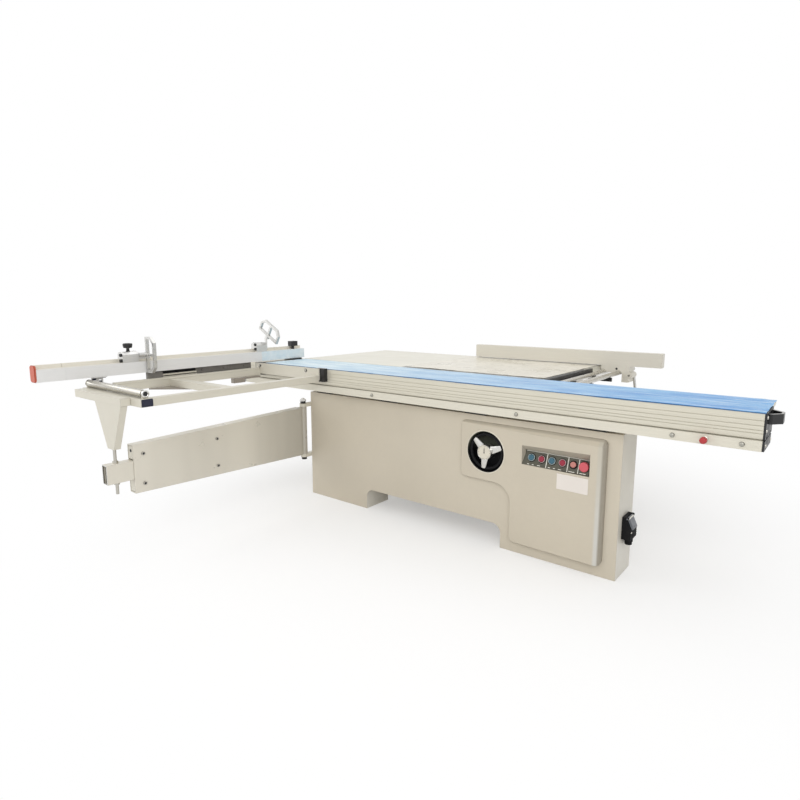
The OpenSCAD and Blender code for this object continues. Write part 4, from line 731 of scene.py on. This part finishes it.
def film_height(x, t, end_x):
    """The film's height above the carriage, at x and a share t of its width."""
    ridge = noise.noise((x * 2.1, t * 9, 3.1)) + 0.6 * noise.noise((x * 7, t * 16, 8.7))
    height = FILM_LOW + FILM_RIDGE * max(0, ridge) ** 1.3
    end = max(0, (x - (end_x - FILM_END)) / FILM_END)
    wave = 0.5 + 0.5 * math.sin(t * 17 + 2 * math.sin(x * 40))
    height += FILM_END_LIFT * end * end * wave
    edge = min(1, min(t, 1 - t) * FILM_STEPS_Y / 2)
    return FILM_EDGE + (height - FILM_EDGE) * edge


def film_hang(x):
    """How far the film hangs below the carriage's top at its front edge."""
    slow, quick = noise.noise((x * 3.3, 0, 1.7)), noise.noise((x * 19, 0, 5.2))
    return 0.0028 + 0.0016 * slow + 0.0008 * quick


def film_on_carriage():
    lo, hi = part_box("carriage_beam")
    x0, x1, y0, y1, top = FILM_START, hi[0] + FILM_OVERHANG, lo[1], hi[1], hi[2]
    bm = bmesh.new()
    grid = []
    for i in range(FILM_STEPS_X + 1):
        x = x0 + (x1 - x0) * i / FILM_STEPS_X
        row = []
        for j in range(FILM_STEPS_Y + 1):
            t = j / FILM_STEPS_Y
            y = y0 - 0.0015 + (y1 - y0 + 0.0005) * t
            row.append(bm.verts.new((x, y, top + film_height(x, t, x1))))
        row.insert(0, bm.verts.new((x, y0 - 0.0022, top - film_hang(x))))
        grid.append(row)
    add_sheet(bm, grid)
    film = piece("carriage_film", bm, "carriage", "blue_film", smooth=180)


film_on_carriage()


# Loose bubble wrap on the table
WRAP_STEPS = 150


def wrap_height(x, y):
    fold = noise.noise((x * 5, y * 7, 0.7)) + 0.5 * noise.noise((x * 13, y * 12, 4.2))
    crease = abs(noise.noise((x * 21, y * 17, 2.4)))
    return 0.0015 + 0.0028 * (0.5 + 0.5 * fold) + 0.0016 * crease


def wrap_on_table():
    lo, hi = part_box("table_wrap")
    bm = bmesh.new()
    grid = []
    for i in range(WRAP_STEPS + 1):
        row = []
        for j in range(WRAP_STEPS + 1):
            x = lo[0] + (hi[0] - lo[0]) * (i / WRAP_STEPS)
            y = lo[1] + (hi[1] - lo[1]) * (j / WRAP_STEPS)
            row.append(bm.verts.new((x, y, lo[2] + wrap_height(x, y))))
        grid.append(row)
    add_sheet(bm, grid)
    wrap = piece("table_bubble_wrap", bm, "base", "wrap_film", smooth=180)
    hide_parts("table_wrap")


wrap_on_table()


# Handwheels: a black rim with finger waves, three tapered spokes and a dial in the hub
WHEEL_X, WHEEL_Z = 0.377, 0.511
RIM_R, RIM_T, RIM_BACK = 0.092, 0.0088, 0.009
SPOKE_TURNS, SPOKE_STEPS = (20, 140, 260), 8
SPOKE_START, SPOKE_LENGTH = 0.028, 0.065
SPOKE_HALF, SPOKE_MIDDLE, SPOKE_THICK = (0.0205, 0.0085), (0.001, 0.0045), (0.0055, 0.0015)
SPOKE_SECTION = (
    (-1, -0.6), (-0.8, -1), (0.8, -1), (1, -0.6), (1, 0.3),
    (0.7, 0.9), (0, 1.1), (-0.7, 0.9), (-1, 0.3),
)
HUB = mm(
    (0, -34), (30, -34), (34.5, -31), (37.5, -12), (40.2, 10), (40.2, 19.5), (39.6, 21.5),
    (38.8, 22), (37.8, 21.2), (37.8, 19.2), (0, 19.2),
)
SHAFT = mm((0, -100), (8.5, -100), (9, -98), (9, -33), (0, -33))
DIAL = mm((0, 19.5), (37.3, 19.5), (37.5, 20), (37.1, 20.4), (0, 20.8))
POINTER = mm((-1.4, -8), (1.4, -8), (2, 14), (0, 26.5), (-2, 14))
POINTER_PIN = mm((0, 20.6), (3.2, 20.6), (3, 21.6), (1.2, 22.1), (0, 22.2))
SPOKE_PLUG = mm((0, -4), (4.2, -4), (4.2, 0.5), (3.2, 1.2), (0, 0.8))
TICKS, TICK_END, TICK_HEIGHTS = 24, 0.0352, (0.0202, 0.0209)
LONG_TICK, SHORT_TICK = (0.03, 0.0006), (0.0325, 0.0004)  # start and half width
SPOKE_PLUG_R = 0.068


def finger_wave(angle, r):
    return 0.0011 * math.cos(24 * angle) if r < RIM_R - 0.002 else 0


def out_and_round(angle):
    """Directions out from the wheel's middle and round it."""
    c, s = math.cos(angle), math.sin(angle)
    return Vector((c, s, 0)), Vector((-s, c, 0))


def add_spoke(bm, at, angle):
    """A spoke that gets narrower, lower and thinner towards the rim."""
    u, v = out_and_round(angle)
    sections = []
    for k in range(SPOKE_STEPS + 1):
        t = k / SPOKE_STEPS
        r = SPOKE_START + SPOKE_LENGTH * t
        half = SPOKE_HALF[0] - SPOKE_HALF[1] * t
        mid = SPOKE_MIDDLE[0] - SPOKE_MIDDLE[1] * t * t
        thick = SPOKE_THICK[0] - SPOKE_THICK[1] * t
        sections.append([
            at @ (u * r + v * (half * x) + Vector((0, 0, mid + thick * z)))
            for x, z in SPOKE_SECTION
        ])
    add_loft(bm, sections)


def handwheel(tag, body, node, at):
    section = [(RIM_R + RIM_T * math.cos(a), RIM_T * math.sin(a) - RIM_BACK) for a in circle(16)]
    rim = build(tag + "_rim", body, "matte_black", [(add_turned, at, section, 144, finger_wave)])
    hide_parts(node)
    spokes = [(add_spoke, at, math.radians(degrees)) for degrees in SPOKE_TURNS]
    build(tag + "_spokes", body, "wheel_metal", spokes)
    hub = [(add_turned, at, HUB, 56), (add_turned, at, SHAFT, 24)]
    build(tag + "_hub", body, "wheel_metal", hub)
    turned(tag + "_dial", body, "dial_cream", [at], DIAL, 56)
    bm = bmesh.new()
    for i, a in enumerate(circle(TICKS)):
        start, half = LONG_TICK if i % 6 == 0 else SHORT_TICK
        u, v = out_and_round(a)
        corners = ((start, -half), (TICK_END, -half), (TICK_END, half), (start, half))
        add_loft(bm, [
            [at @ (u * r + v * s + Vector((0, 0, h))) for r, s in corners]
            for h in TICK_HEIGHTS
        ])
    add_prism(bm, POINTER, 0.0206, 0.0214, at)
    add_turned(bm, at, POINTER_PIN, 20)
    a = math.radians(SPOKE_TURNS[0])
    plug = Matrix.Translation((SPOKE_PLUG_R * math.cos(a), SPOKE_PLUG_R * math.sin(a), 0.0005))
    add_turned(bm, at @ plug, SPOKE_PLUG, 20)
    piece(tag + "_marks", bm, body, "black_plastic")


handwheel("tilt_wheel", "tilt_handwheel", "tilt_handwheel", front((WHEEL_X, -0.508, WHEEL_Z)))
handwheel("rise_wheel", "rise_handwheel", "rise_handwheel", sideways((0.577, 0.15, 0.56)))


# Control cover: lip round the wheel's bowl, paler than the cover's paint as painted highlight, and
# a blank plate under the buttons
COVER_X, COVER_Y, COVER_WIDTH, COVER_LEAN = 0.227, -0.512, 0.742, 0.018
COVER_SLOPE = 0.0243
BOWL_LIP = mm((110, -4), (110, 0.8), (111.2, 2), (113.8, 2.2), (116.2, 0.4), (116.2, -4))
PLATE_X, PLATE_Z, PLATE_STEPS_X, PLATE_STEPS_Z = (0.778, 0.933), (0.3965, 0.4735), 10, 5


def cover_y(x):
    """The cover's face, which comes forward towards its right end."""
    return COVER_Y - COVER_LEAN * (x - COVER_X) / COVER_WIDTH


def blank_plate():
    """A thin plate whose corners curl off the cover a little."""
    bm = bmesh.new()
    (x0, x1), (z0, z1), nx, nz = PLATE_X, PLATE_Z, PLATE_STEPS_X, PLATE_STEPS_Z
    face, back = [], []
    for i in range(nx + 1):
        x = x0 + (x1 - x0) * i / nx
        zs = [z0 + (z1 - z0) * j / nz for j in range(nz + 1)]
        curl = [
            0.0003 + 0.0007 * abs(2 * i / nx - 1) ** 6 * abs(2 * j / nz - 1) ** 6
            for j in range(nz + 1)
        ]
        face.append([bm.verts.new((x, cover_y(x) - 0.0005 - c, z)) for z, c in zip(zs, curl)])
        back.append([bm.verts.new((x, cover_y(x) + 0.0002, z)) for z in zs])
    rim = [(i, 0) for i in range(nx)] + [(nx, j) for j in range(nz)]
    rim += [(i, nz) for i in range(nx, 0, -1)] + [(0, j) for j in range(nz, 0, -1)]
    add_sheet(bm, face)
    add_sheet(bm, back)
    add_wall(bm, *([side[i][j] for i, j in rim] for side in (face, back)))
    piece("blank_plate", bm, "base", "pale_plate")


def cover_trim():
    middle = (WHEEL_X, cover_y(WHEEL_X), WHEEL_Z)
    at = basis(middle, (-COVER_SLOPE, -1, 0), (1, -COVER_SLOPE, 0))
    # The lip takes a paler cream than the cover's paint, as painted highlight
    turned("bowl_lip", "base", "dial_cream", [at], BOWL_LIP, 96)
    blank_plate()


cover_trim()


# Control panel: tilted plate with bezels, dividing lines, blank tags and button caps
BUTTON_X = (0.636, 0.6896, 0.7432, 0.7968, 0.8504, 0.904)
BUTTON_Z = 0.5235
BUTTONS = (
    ("main_start", "blue_plastic", "bezel_blue"), ("main_stop", "stop_red", "bezel_pink"),
    ("scoring_start", "blue_plastic", "bezel_blue"), ("scoring_stop", "stop_red", "bezel_pink"),
    ("reset_button", "reset_rose", None), ("emergency_stop", "estop_rose", None),
)
BUTTON_HOLES = (0.016,) * 5 + (0.0262,)
COLLARS = (0.0212,) * 4 + (0.0196,)
BEZEL = mm((15.8, -1), (15.8, 5.8), (16.2, 6.6), (17, 6.8), (17.7, 5.8), (17.9, -1))
CAP = mm((0, -1), (14.1, -1), (14.1, 5.6), (13.4, 7), (11, 7.8), (6.5, 7.4), (0, 7.1))
STOP_CAP_Y = -0.52
STOP_CAP = mm((0, 0), (22.2, 0), (22.8, 0.8), (21.4, 2.2), (17.5, 3.4), (12, 3), (0, 2.6))
PANEL_OUT, PANEL_Y, PANEL_MIDDLE = (0, -0.9416, 0.3368), -0.5068, 0.76
PANEL_CORNERS = ((0.5852, -0.04), (0.929, -0.04), (0.929, 0.0366), (0.6015, 0.0366))
GAP_X = (0.93, 0.9352)
GAP_YZ = (
    (-0.4935, 0.4862), (-0.52, 0.4862), (-0.52, 0.488), (-0.495, 0.556), (-0.4935, 0.556),
)
LINE_X, LINE_HALF, LINE_V = (0.7164, 0.8236, 0.8766), 0.0018, (-0.0394, 0.0335)
TOP_LINE_X, TOP_LINE_V = (0.6025, 0.9288), (0.0312, 0.035)
TAG_V = (-0.0365, -0.033)
TAGS = (
    (0.624, 0.0055), (0.648, 0.0045), (0.679, 0.0075), (0.733, 0.0055),
    (0.759, 0.005), (0.787, 0.008), (0.846, 0.015), (0.9, 0.015),
)


def on_panel(x):
    """A frame on the tilted plate, at the buttons' height."""
    return basis((x, PANEL_Y, BUTTON_Z), PANEL_OUT, (1, 0, 0))


def add_pierced(bm, at, outline, holes, low, high):
    """A flat plate with round holes: outline [(u, v)], holes [(u, v, r)]."""
    loops = [outline]
    for u, v, r in holes:
        loops.append([(u + r * math.cos(a), v + r * math.sin(a)) for a in circle(40)])
    sides = []
    for h in (low, high):
        rows = [[bm.verts.new(at @ Vector((u, v, h))) for u, v in loop] for loop in loops]
        edges = [
            bm.edges.new((row[k], row[(k + 1) % len(row)])) for row in rows for k in range(len(row))
        ]
        bmesh.ops.triangle_fill(bm, edges=edges, use_beauty=True)
        sides.append(rows)
    for a, b in zip(*sides):
        add_wall(bm, a, b)


def panel_lines():
    bm = bmesh.new()
    at = on_panel(0)

    def strip(x0, x1, v0, v1):
        add_prism(bm, [(x0, v0), (x1, v0), (x1, v1), (x0, v1)], -0.0003, 0.0007, at)

    for x in LINE_X:
        strip(x - LINE_HALF, x + LINE_HALF, *LINE_V)
    strip(*TOP_LINE_X, *TOP_LINE_V)
    for x, half in TAGS:
        strip(x - half, x + half, *TAG_V)
    piece("panel_lines", bm, "base", "line_white", bevel=0.0002, segments=1)


def panel_trim():
    outline = [(x - PANEL_MIDDLE, v) for x, v in PANEL_CORNERS]
    holes = [(x - PANEL_MIDDLE, 0, r) for x, r in zip(BUTTON_X, BUTTON_HOLES)]
    plate = (add_pierced, on_panel(PANEL_MIDDLE), outline, holes, -0.003, 0)
    build("panel_plate", "base", "panel_grey", [plate], bevel=0.0004, segments=1)
    gap = [[(x, y, z) for y, z in GAP_YZ] for x in GAP_X]
    build("panel_gap", "base", "matte_black", [(add_loft, gap)])
    for x, (body, mat, bezel) in zip(BUTTON_X, BUTTONS):
        if bezel:
            turned(body + "_bezel", "base", bezel, [on_panel(x)], BEZEL, 48)
        if body == "emergency_stop":
            turned(body + "_dome", body, mat, [front((x, STOP_CAP_Y, BUTTON_Z))], STOP_CAP)
        else:
            turned(body + "_dome", body, mat, [on_panel(x)], CAP)
    collars = []
    for x, r in zip(BUTTON_X, COLLARS):
        section = [(0.0164, -0.001), (0.0164, 0.003), (r - 0.001, 0.003), (r, 0.0018), (r, -0.001)]
        collars.append((add_turned, on_panel(x), section, 48))
    build("button_collars", "base", "matte_black", collars)
    panel_lines()


panel_trim()


# Stops on the crosscut fence: black knobs, rubber nubs and ribs
NEAR_KNOB = mm(
    (0, 0), (11.5, 0), (11.5, 3), (8.8, 6), (8.8, 19.5), (22.5, 21), (24.6, 29), (26.2, 38.5),
    (25.8, 43.5), (22.5, 46.2), (12, 47.5), (0, 47.8),
)
FAR_KNOB = mm(
    (0, 0), (8.4, 0), (8.4, 3), (22.5, 4.2), (23.8, 11), (23.8, 25), (22.4, 28.4), (0, 29),
)
NUB_X = -1.397
RIB_WIDTH, RIB_INSET = 0.006, 0.004
FACE_RIB_X, FACE_RIB_Z = (-1.3868, -1.3848), (0.958, 0.969, 0.98)
TOP_RIB_X, TOP_RIB_Z = (-1.432, -1.421, -1.41), (1.007, 1.01)


def add_nub(bm, at, r, l):
    add_turned(bm, at, [
        (0, -0.002), (r * 0.82, -0.002), (r * 0.86, l * 0.1), (r, l * 0.2), (r, l * 0.75),
        (r * 0.8, l), (0, l),
    ], 24)


def stop_ribs(tag, y0, y1, top_start):
    y1 -= RIB_INSET
    face = [
        ((FACE_RIB_X[0], y0 + RIB_INSET, z), (FACE_RIB_X[1], y1, z + RIB_WIDTH)) for z in FACE_RIB_Z
    ]
    top = [((x, top_start, TOP_RIB_Z[0]), (x + RIB_WIDTH, y1, TOP_RIB_Z[1])) for x in TOP_RIB_X]
    boxes(tag + "_stop_ribs", tag + "_stop", "stop_steel", 0.0007, face + top)


def stop_trim():
    knob = (add_turned, upward((-1.416, -1.488, 1.0085)), NEAR_KNOB, 48)
    nubs = [(add_nub, front((NUB_X, -1.535, z)), 0.0095, 0.012) for z in (0.991, 0.9595)]
    build("near_stop_knobs", "near_stop", "black_plastic", [knob, *nubs])
    knob = (add_turned, sideways((-1.446, -0.5627, 0.985), -1), FAR_KNOB, 40)
    nubs = [(add_nub, front((NUB_X, -0.6065, z)), 0.0105, 0.009) for z in (0.998, 0.968)]
    build("far_stop_knobs", "far_stop", "black_plastic", [*nubs, knob])
    stop_ribs("near", -1.535, -1.441, -1.459)
    stop_ribs("far", -0.607, -0.519, -0.607 + RIB_INSET)
    lo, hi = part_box("stop_finger_near")
    nubs = [
        (add_nub, basis((x, hi[1], z), (0, 1, 0), (1, 0, 0)), 0.007, 0.006)
        for x, z in ((hi[0] - 0.04, lo[2] + 0.012), (hi[0] - 0.052, lo[2] + 0.01))
    ]
    build("near_finger_nubs", "near_finger", "black_plastic", nubs)


stop_trim()


# Crosscut table: rests under the fence with black blocks behind them as painted shade, end plugs,
# end plates and the roller's end brackets
BEAM_Y, BEAM_Z, ROLLER_Z = -1.717, 0.808, 0.8507
REST_BOLT = mm((0, 0), (8, 0), (8, 3), (6, 5), (0, 5))
ROLLER_BRACKET = mm((11.8, 0), (11.8, 5.5), (13.5, 6.8), (17.8, 6.2), (19.6, 4.5), (20, 0))
ROLLER_HOLE = mm((0, 0.8), (11.2, 0.8), (11.2, 2.2), (6, 3), (0, 1.8))
PLATE_BOLT = mm((0, 0), (12.5, 0), (12.5, 1.2), (8.5, 1.4), (8.2, 4.6), (6, 6.2), (0, 6.2))


def fence_rests():
    boxes("fence_rest", "carriage", "frame_paint", 0.002, [
        ((-1.422, -1.294, 0.828), (-1.404, -1.06, 0.845)),
        ((-1.424, -1.294, 0.851), (-1.4, -1.066, 0.8605)),
        ((-1.402, -1.598, 0.827), (-1.379, -0.59, 0.8415)),
    ])
    level = Matrix.Identity(4)
    wide = [(-1.3805, -0.83), (-1.3805, -0.74), (-1.345, -0.74), (-1.345, -0.83)]
    narrow = [(-1.3805, -0.74), (-1.3805, -0.606), (-1.355, -0.606), (-1.355, -0.74)]
    plates("frame_plates", "carriage", "plate_taupe", 0.0012, [
        ([(-1.3805, -1.399), (-1.3805, -1.204), (-1.15, -1.204)], 0.78, 0.7878, level),
        (wide, 0.757, 0.7878, level),
        (narrow, 0.776, 0.7878, level),
    ])
    # Black blocks behind the rests, as painted shade in the gap under the fence
    boxes("fence_rest_shade", "carriage", "matte_black", 0.001, [
        ((-1.43, -1.384, 0.828), (-1.4235, -1.062, 0.8778)),
        ((-1.428, -1.3, 0.866), (-1.404, -1.072, 0.8778)),
    ])
    bm = bmesh.new()
    add_box(bm, (-1.423, -1.07, 0.828), (-1.411, -0.64, 0.8775))
    add_box(bm, (-1.411, -1.07, 0.828), (-1.4, -0.64, 0.834))
    add_box(bm, (-1.424, -1.386, 0.828), (-1.396, -1.296, 0.8775))
    for y in (-1.02, -0.86, -0.7):
        add_turned(bm, sideways((-1.411, y, 0.862)), REST_BOLT, 6)
    piece("fence_rest_brackets", bm, "carriage", "dull_grey", bevel=0.0012)


def crosscut_trim():
    fence_rests()
    plugs = []
    for x, side in ((-0.795, 1), (-1.425, -1)):
        at = sideways((x, BEAM_Y, BEAM_Z), side)
        plugs.append((rounded(0.0285, 0.0185, 0.004), -0.002, 0.0035, at))
        plugs.append((rounded(0.0225, 0.0125, 0.003), 0.0035, 0.0045, at))
    plates("beam_plugs", "carriage", "navy_plug", 0.0008, plugs)
    plates("foot_bar_plates", "carriage", "frame_paint", 0.0008, [
        (rounded(0.0245, 0.0195, 0.003), -0.001, 0.0025, sideways((x, -1.772, BEAM_Z), side))
        for x, side in ((-0.899, 1), (-1.401, -1))
    ])
    ends = [sideways((x, BEAM_Y, ROLLER_Z), side) for x, side in ((-0.811, 1), (-1.409, -1))]
    turned("roller_brackets", "carriage", "polished", ends, ROLLER_BRACKET, 40)
    turned("roller_holes", "carriage", "black_plastic", ends, ROLLER_HOLE, 30)
    places = [front((x, -0.587, 0.8535)) for x in (-1.381, -0.915)]
    turned("inner_plate_bolts", "carriage", "bright_steel", places, PLATE_BOLT, 28)
    bm = bmesh.new()
    for y, z, half in ((-1.676, 0.864, 0.011), (-1.642, 0.85, 0.009)):
        add_prism(bm, rounded(half, 0.0055, 0.004), -0.0055, 0.0012, sideways((-1.441, y, z)))
    # A thin dark strip under the foot's top plate, as painted shadow
    add_box(bm, (-1.4405, -1.684, 0.8735), (-1.398, -1.63, 0.8765))
    piece("fence_foot_slots_and_shade", bm, "fence", "navy_plug", bevel=0.0006)
    boxes("extension_strip", "fence_extension", "fence_alu", 0.001, [
        ((-1.4455, -1.9808, 0.947), (-1.4305, -1.84, 0.9678)),
    ])
    at = front((-1.416, -1.9813, 0.925))
    cap = plates("extension_cap", "fence_extension", "cap_red", 0.001, [
        (rounded(0.031, 0.044, 0.012), -0.003, 0.0035, at),
        (rounded(0.0285, 0.0415, 0.011), 0.0035, 0.0062, at),
    ])
    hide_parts("fence_end_cap")


crosscut_trim()


# Swing arm: guide blocks in its mouth, a dark plate inside the tube as painted shade, the tube's
# rim, and the hinge's nut and bushes
HINGE_X, HINGE_Y = -0.993, -0.548
ARM_SIN, ARM_COS = 0.0349, 0.9994
ARM_TURN = math.atan2(ARM_SIN, ARM_COS)
ARM_SIDE, TUBE_END, TUBE_Z = 0.0345, 1.288, 0.43
MOUTH_BOLT = mm((0, 0), (8.2, 0), (8.2, 1.6), (6, 2.6), (5, 1), (0, 1))
BOLT_RING = mm((6.2, -1), (6.2, 1.2), (7.5, 2), (9.2, 1.2), (9.6, -1))
HINGE_BUSH = mm((0, 0), (17.2, 0), (17.6, 1.2), (17.6, 14.5), (16.8, 15.8), (0, 15.8))
HINGE_WASHER = mm((0, 0), (22.2, 0), (22.2, 1.8), (0, 1.8))
HINGE_NUT = mm((0, 1.8), (19.6, 1.8), (20, 2.6), (20, 11), (18, 12.6), (0, 12.6))
HINGE_PIN = mm((0, 12), (11.2, 12), (10.8, 16), (7, 19.6), (0, 20.4))


def on_arm(a, s, z):
    """A point across the arm, along it from the hinge, and above the floor."""
    c, k = math.cos(ARM_TURN), math.sin(ARM_TURN)
    return Vector((HINGE_X - k * s + c * a, HINGE_Y - c * s - k * a, z))


def tube_trim(at):
    # A dark plate a little inside the tube's end, as painted shade
    plates("tube_inside_shade", "support_tube", "tube_dark", 0.0005, [
        (rounded(0.0206, 0.0458, 0.002), -0.016, -0.012, at),
    ])
    outer, inner = rounded(0.0246, 0.0498, 0.003), rounded(0.0208, 0.046, 0.0015)
    profile = ((outer, -0.001), (outer, 0.001), (inner, 0.001), (inner, -0.006))
    rim = [[at @ Vector((u, v, h)) for u, v in loop] for loop, h in profile]
    build("tube_rim", "support_tube", "polished", [(add_skin, rim)])


def arm_trim():
    along = on_arm(0, 1, 0) - on_arm(0, 0, 0)
    across = on_arm(1, 0, 0) - on_arm(0, 0, 0)
    boxes("arm_mouth_blocks", "swing_arm", "frame_paint", 0.0015, [
        ((-0.0252, 1.128, z0), (0.0252, 1.1525, z1))
        for z0, z1 in ((0.4845, 0.5545), (0.3105, 0.3765))
    ], on_arm)
    at = basis(on_arm(0.002, 1.1525, 0.53), along, across)
    turned("arm_mouth_bolts", "swing_arm", "black_metal", [at], MOUTH_BOLT, 24)
    places = [
        basis(on_arm(side * ARM_SIDE, (HINGE_Y - y) / ARM_COS, z), across * side, along * side)
        for y in (-1.2169, -1.6494) for z in (0.35, 0.51) for side in (1, -1)
    ]
    turned("arm_bolt_rings", "swing_arm", "bright_steel", places, BOLT_RING, 28)
    tube_trim(basis(on_arm(0, TUBE_END, TUBE_Z), along, across))
    places = [upward((HINGE_X, HINGE_Y, z)) for z in (0.6243, 0.2437)]
    turned("hinge_bushes", "base", "black_plastic", places, HINGE_BUSH)
    at = upward((HINGE_X, HINGE_Y, 0.6403))
    forms = ((HINGE_WASHER, 36), (HINGE_NUT, 6), (HINGE_PIN, 28))
    nut = [(add_turned, at, *form) for form in forms]
    build("hinge_nut", "base", "polished", nut, smooth=30)


arm_trim()


# Rail and carriage ends: screws, bolt heads with dark rings under them as painted shade, a wiper
# coloured as painted shade, and the lock knob's collar and grip
RAIL_END, RAIL_FACE, RAIL_Z = 1.608, -0.547, 0.739
BOLT_X, BOLT_FACE = (-0.384, 0.563, 1.28, 1.533), -0.552
KNOB_X, KNOB_FACE = 1.402, -0.581
SCREW = mm((0, 0), (7.2, 0), (7.2, 1.8), (5.8, 3.6), (3.4, 4), (3, 2.2), (0, 2.2))
BOLT_SHADE_RING = mm((8.8, -1), (8.8, 1.2), (9.6, 1.3), (10.1, 0.6), (10.1, -1))
BOLT_DOME = mm((0, 0), (8.8, 0), (8.4, 1.2), (6.2, 2.6), (3, 3.2), (0, 3.3))
WIPER_X = (-1.598, 1.598)
WIPER_YZ = (
    (-0.5445, 0.7596), (-0.5435, 0.7622), (-0.5405, 0.7634), (-0.5365, 0.763), (-0.535, 0.7596),
)
KNOB_COLLAR = mm((9.8, 0), (9.8, 3.4), (11.2, 4), (13.8, 2.6), (14.4, 0))
KNOB_GRIP = mm((12.4, -20), (13.8, -18.5), (14, -6), (13, -0.5), (12, 0))
KNOB_TOP = mm((0, -0.5), (12.2, -0.5), (11.2, 1.6), (7.6, 3.4), (0, 4.2))


def knob_wave(angle, r):
    return 0.0005 * math.cos(16 * angle) if r > 0.0132 else 0


def end_screws(name, body, spots):
    places = [sideways((side * RAIL_END, y, z), side) for side in (1, -1) for y, z in spots]
    turned(name, body, "bright_steel", places, SCREW, 24)


def rail_trim():
    end_screws("rail_end_screws", "base", ((-0.52, RAIL_Z), (-0.376, RAIL_Z)))
    end_screws("carriage_end_screws", "carriage", ((-0.535, 0.852), (-0.535, 0.8), (-0.35, 0.852)))
    # Dull grey rings under the bolt domes, as painted shade round each head
    places = [front((x, RAIL_FACE, RAIL_Z)) for x in BOLT_X]
    turned("bolt_shade_rings", "base", "dull_grey", places, BOLT_SHADE_RING, 32)
    places = [front((x, BOLT_FACE, RAIL_Z)) for x in BOLT_X]
    turned("bolt_domes", "base", "bolt_grey", places, BOLT_DOME, 28)
    # The wiper is coloured darker taupe as painted shade in the gap under the carriage
    wiper = [[(x, y, z) for y, z in WIPER_YZ] for x in WIPER_X]
    build("rail_wiper", "base", "wiper_shade", [(add_loft, wiper)])
    at = front((KNOB_X, RAIL_FACE, RAIL_Z))
    turned("knob_collar", "base", "bright_steel", [at], KNOB_COLLAR, 32)
    at = front((KNOB_X, KNOB_FACE, RAIL_Z))
    grip = [(add_turned, at, KNOB_GRIP, 96, knob_wave), (add_turned, at, KNOB_TOP)]
    build("knob_grip", "lock_knob", "red_plastic", grip)


rail_trim()


# Power inlet: ribs, cable gland, the lid's raised panel, a white strip along its top edge as
# painted highlight, and a small lamp
INLET_Y = -0.4
LID_HINGE = Vector((1.094, INLET_Y, 0.293))
LID_SLOPE = math.atan2(26, 58)
GLAND_NECK = mm((0, 0), (15, 0), (16.8, 2), (17.2, 12), (17.2, 16), (0, 16))
GLAND_NUT = mm((0, 16), (20, 16), (20.6, 17.5), (20.6, 31), (19.6, 32.8), (0, 32.8))
LAMP = mm((0, -2), (4.2, -2), (4.2, 2.2), (3, 3.4), (0, 3.6))


def on_lid(down, out):
    """A frame on the closed lid, down from its hinge and out of it."""
    c, s = math.cos(LID_SLOPE), math.sin(LID_SLOPE)
    normal = Vector((c, 0, s))
    return basis(LID_HINGE + Vector((s, 0, -c)) * down + normal * out, normal, (0, 1, 0))


def inlet_trim():
    boxes("inlet_ribs", "base", "matte_black", 0.0008, [
        ((1.1125, -0.443, z), (1.115, -0.357, z + 0.005)) for z in (0.197, 0.208, 0.219, 0.23)
    ])
    at = upward((1.092, INLET_Y, 0.157))
    gland = [(add_turned, at, GLAND_NECK, 32), (add_turned, at, GLAND_NUT, 6)]
    build("inlet_gland", "base", "matte_black", gland, smooth=30)
    at = on_lid(0.031, 0.003)
    handle = at @ Matrix.Translation((0, -0.016, 0))
    plates("lid_panel", "inlet_lid", "lid_grey", 0.0006, [
        (rounded(0.029, 0.0225, 0.006), -0.0005, 0.0016, at),
        (rounded(0.012, 0.003, 0.002), 0.0016, 0.0034, handle),
    ])
    # A white strip along the lid's top edge, as painted highlight
    plates("lid_edge_highlight", "inlet_lid", "line_white", 0.0004, [
        (rounded(0.044, 0.0032, 0.0014), -0.0005, 0.0012, on_lid(0.0035, 0.0032)),
    ])
    turned("inlet_lamp", "base", "line_white", [sideways((1.113, -0.4385, 0.23))], LAMP, 20)


inlet_trim()


# Rip fence: hole in its carrier, end plates on the profile
CARRIER_HOLE = mm((0, -1), (6.8, -1), (6.8, 0.8), (4.8, 1.4), (0, 0.6))


def rip_trim():
    places = [front((0.641, 0.7, 0.86))]
    turned("carrier_hole", "rip_carrier", "black_metal", places, CARRIER_HOLE, 24)
    lo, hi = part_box("rip_fence")
    middle = ((lo[1] + hi[1]) / 2, (lo[2] + hi[2]) / 2)
    outline = rounded((hi[1] - lo[1]) / 2 - 0.001, (hi[2] - lo[2]) / 2 - 0.001, 0.004)
    plates("rip_fence_ends", "rip_fence", "rip_alu", 0.0008, [
        (outline, -0.001, 0.002, sideways((x, *middle), side))
        for x, side in ((lo[0], -1), (hi[0], 1))
    ])


rip_trim()
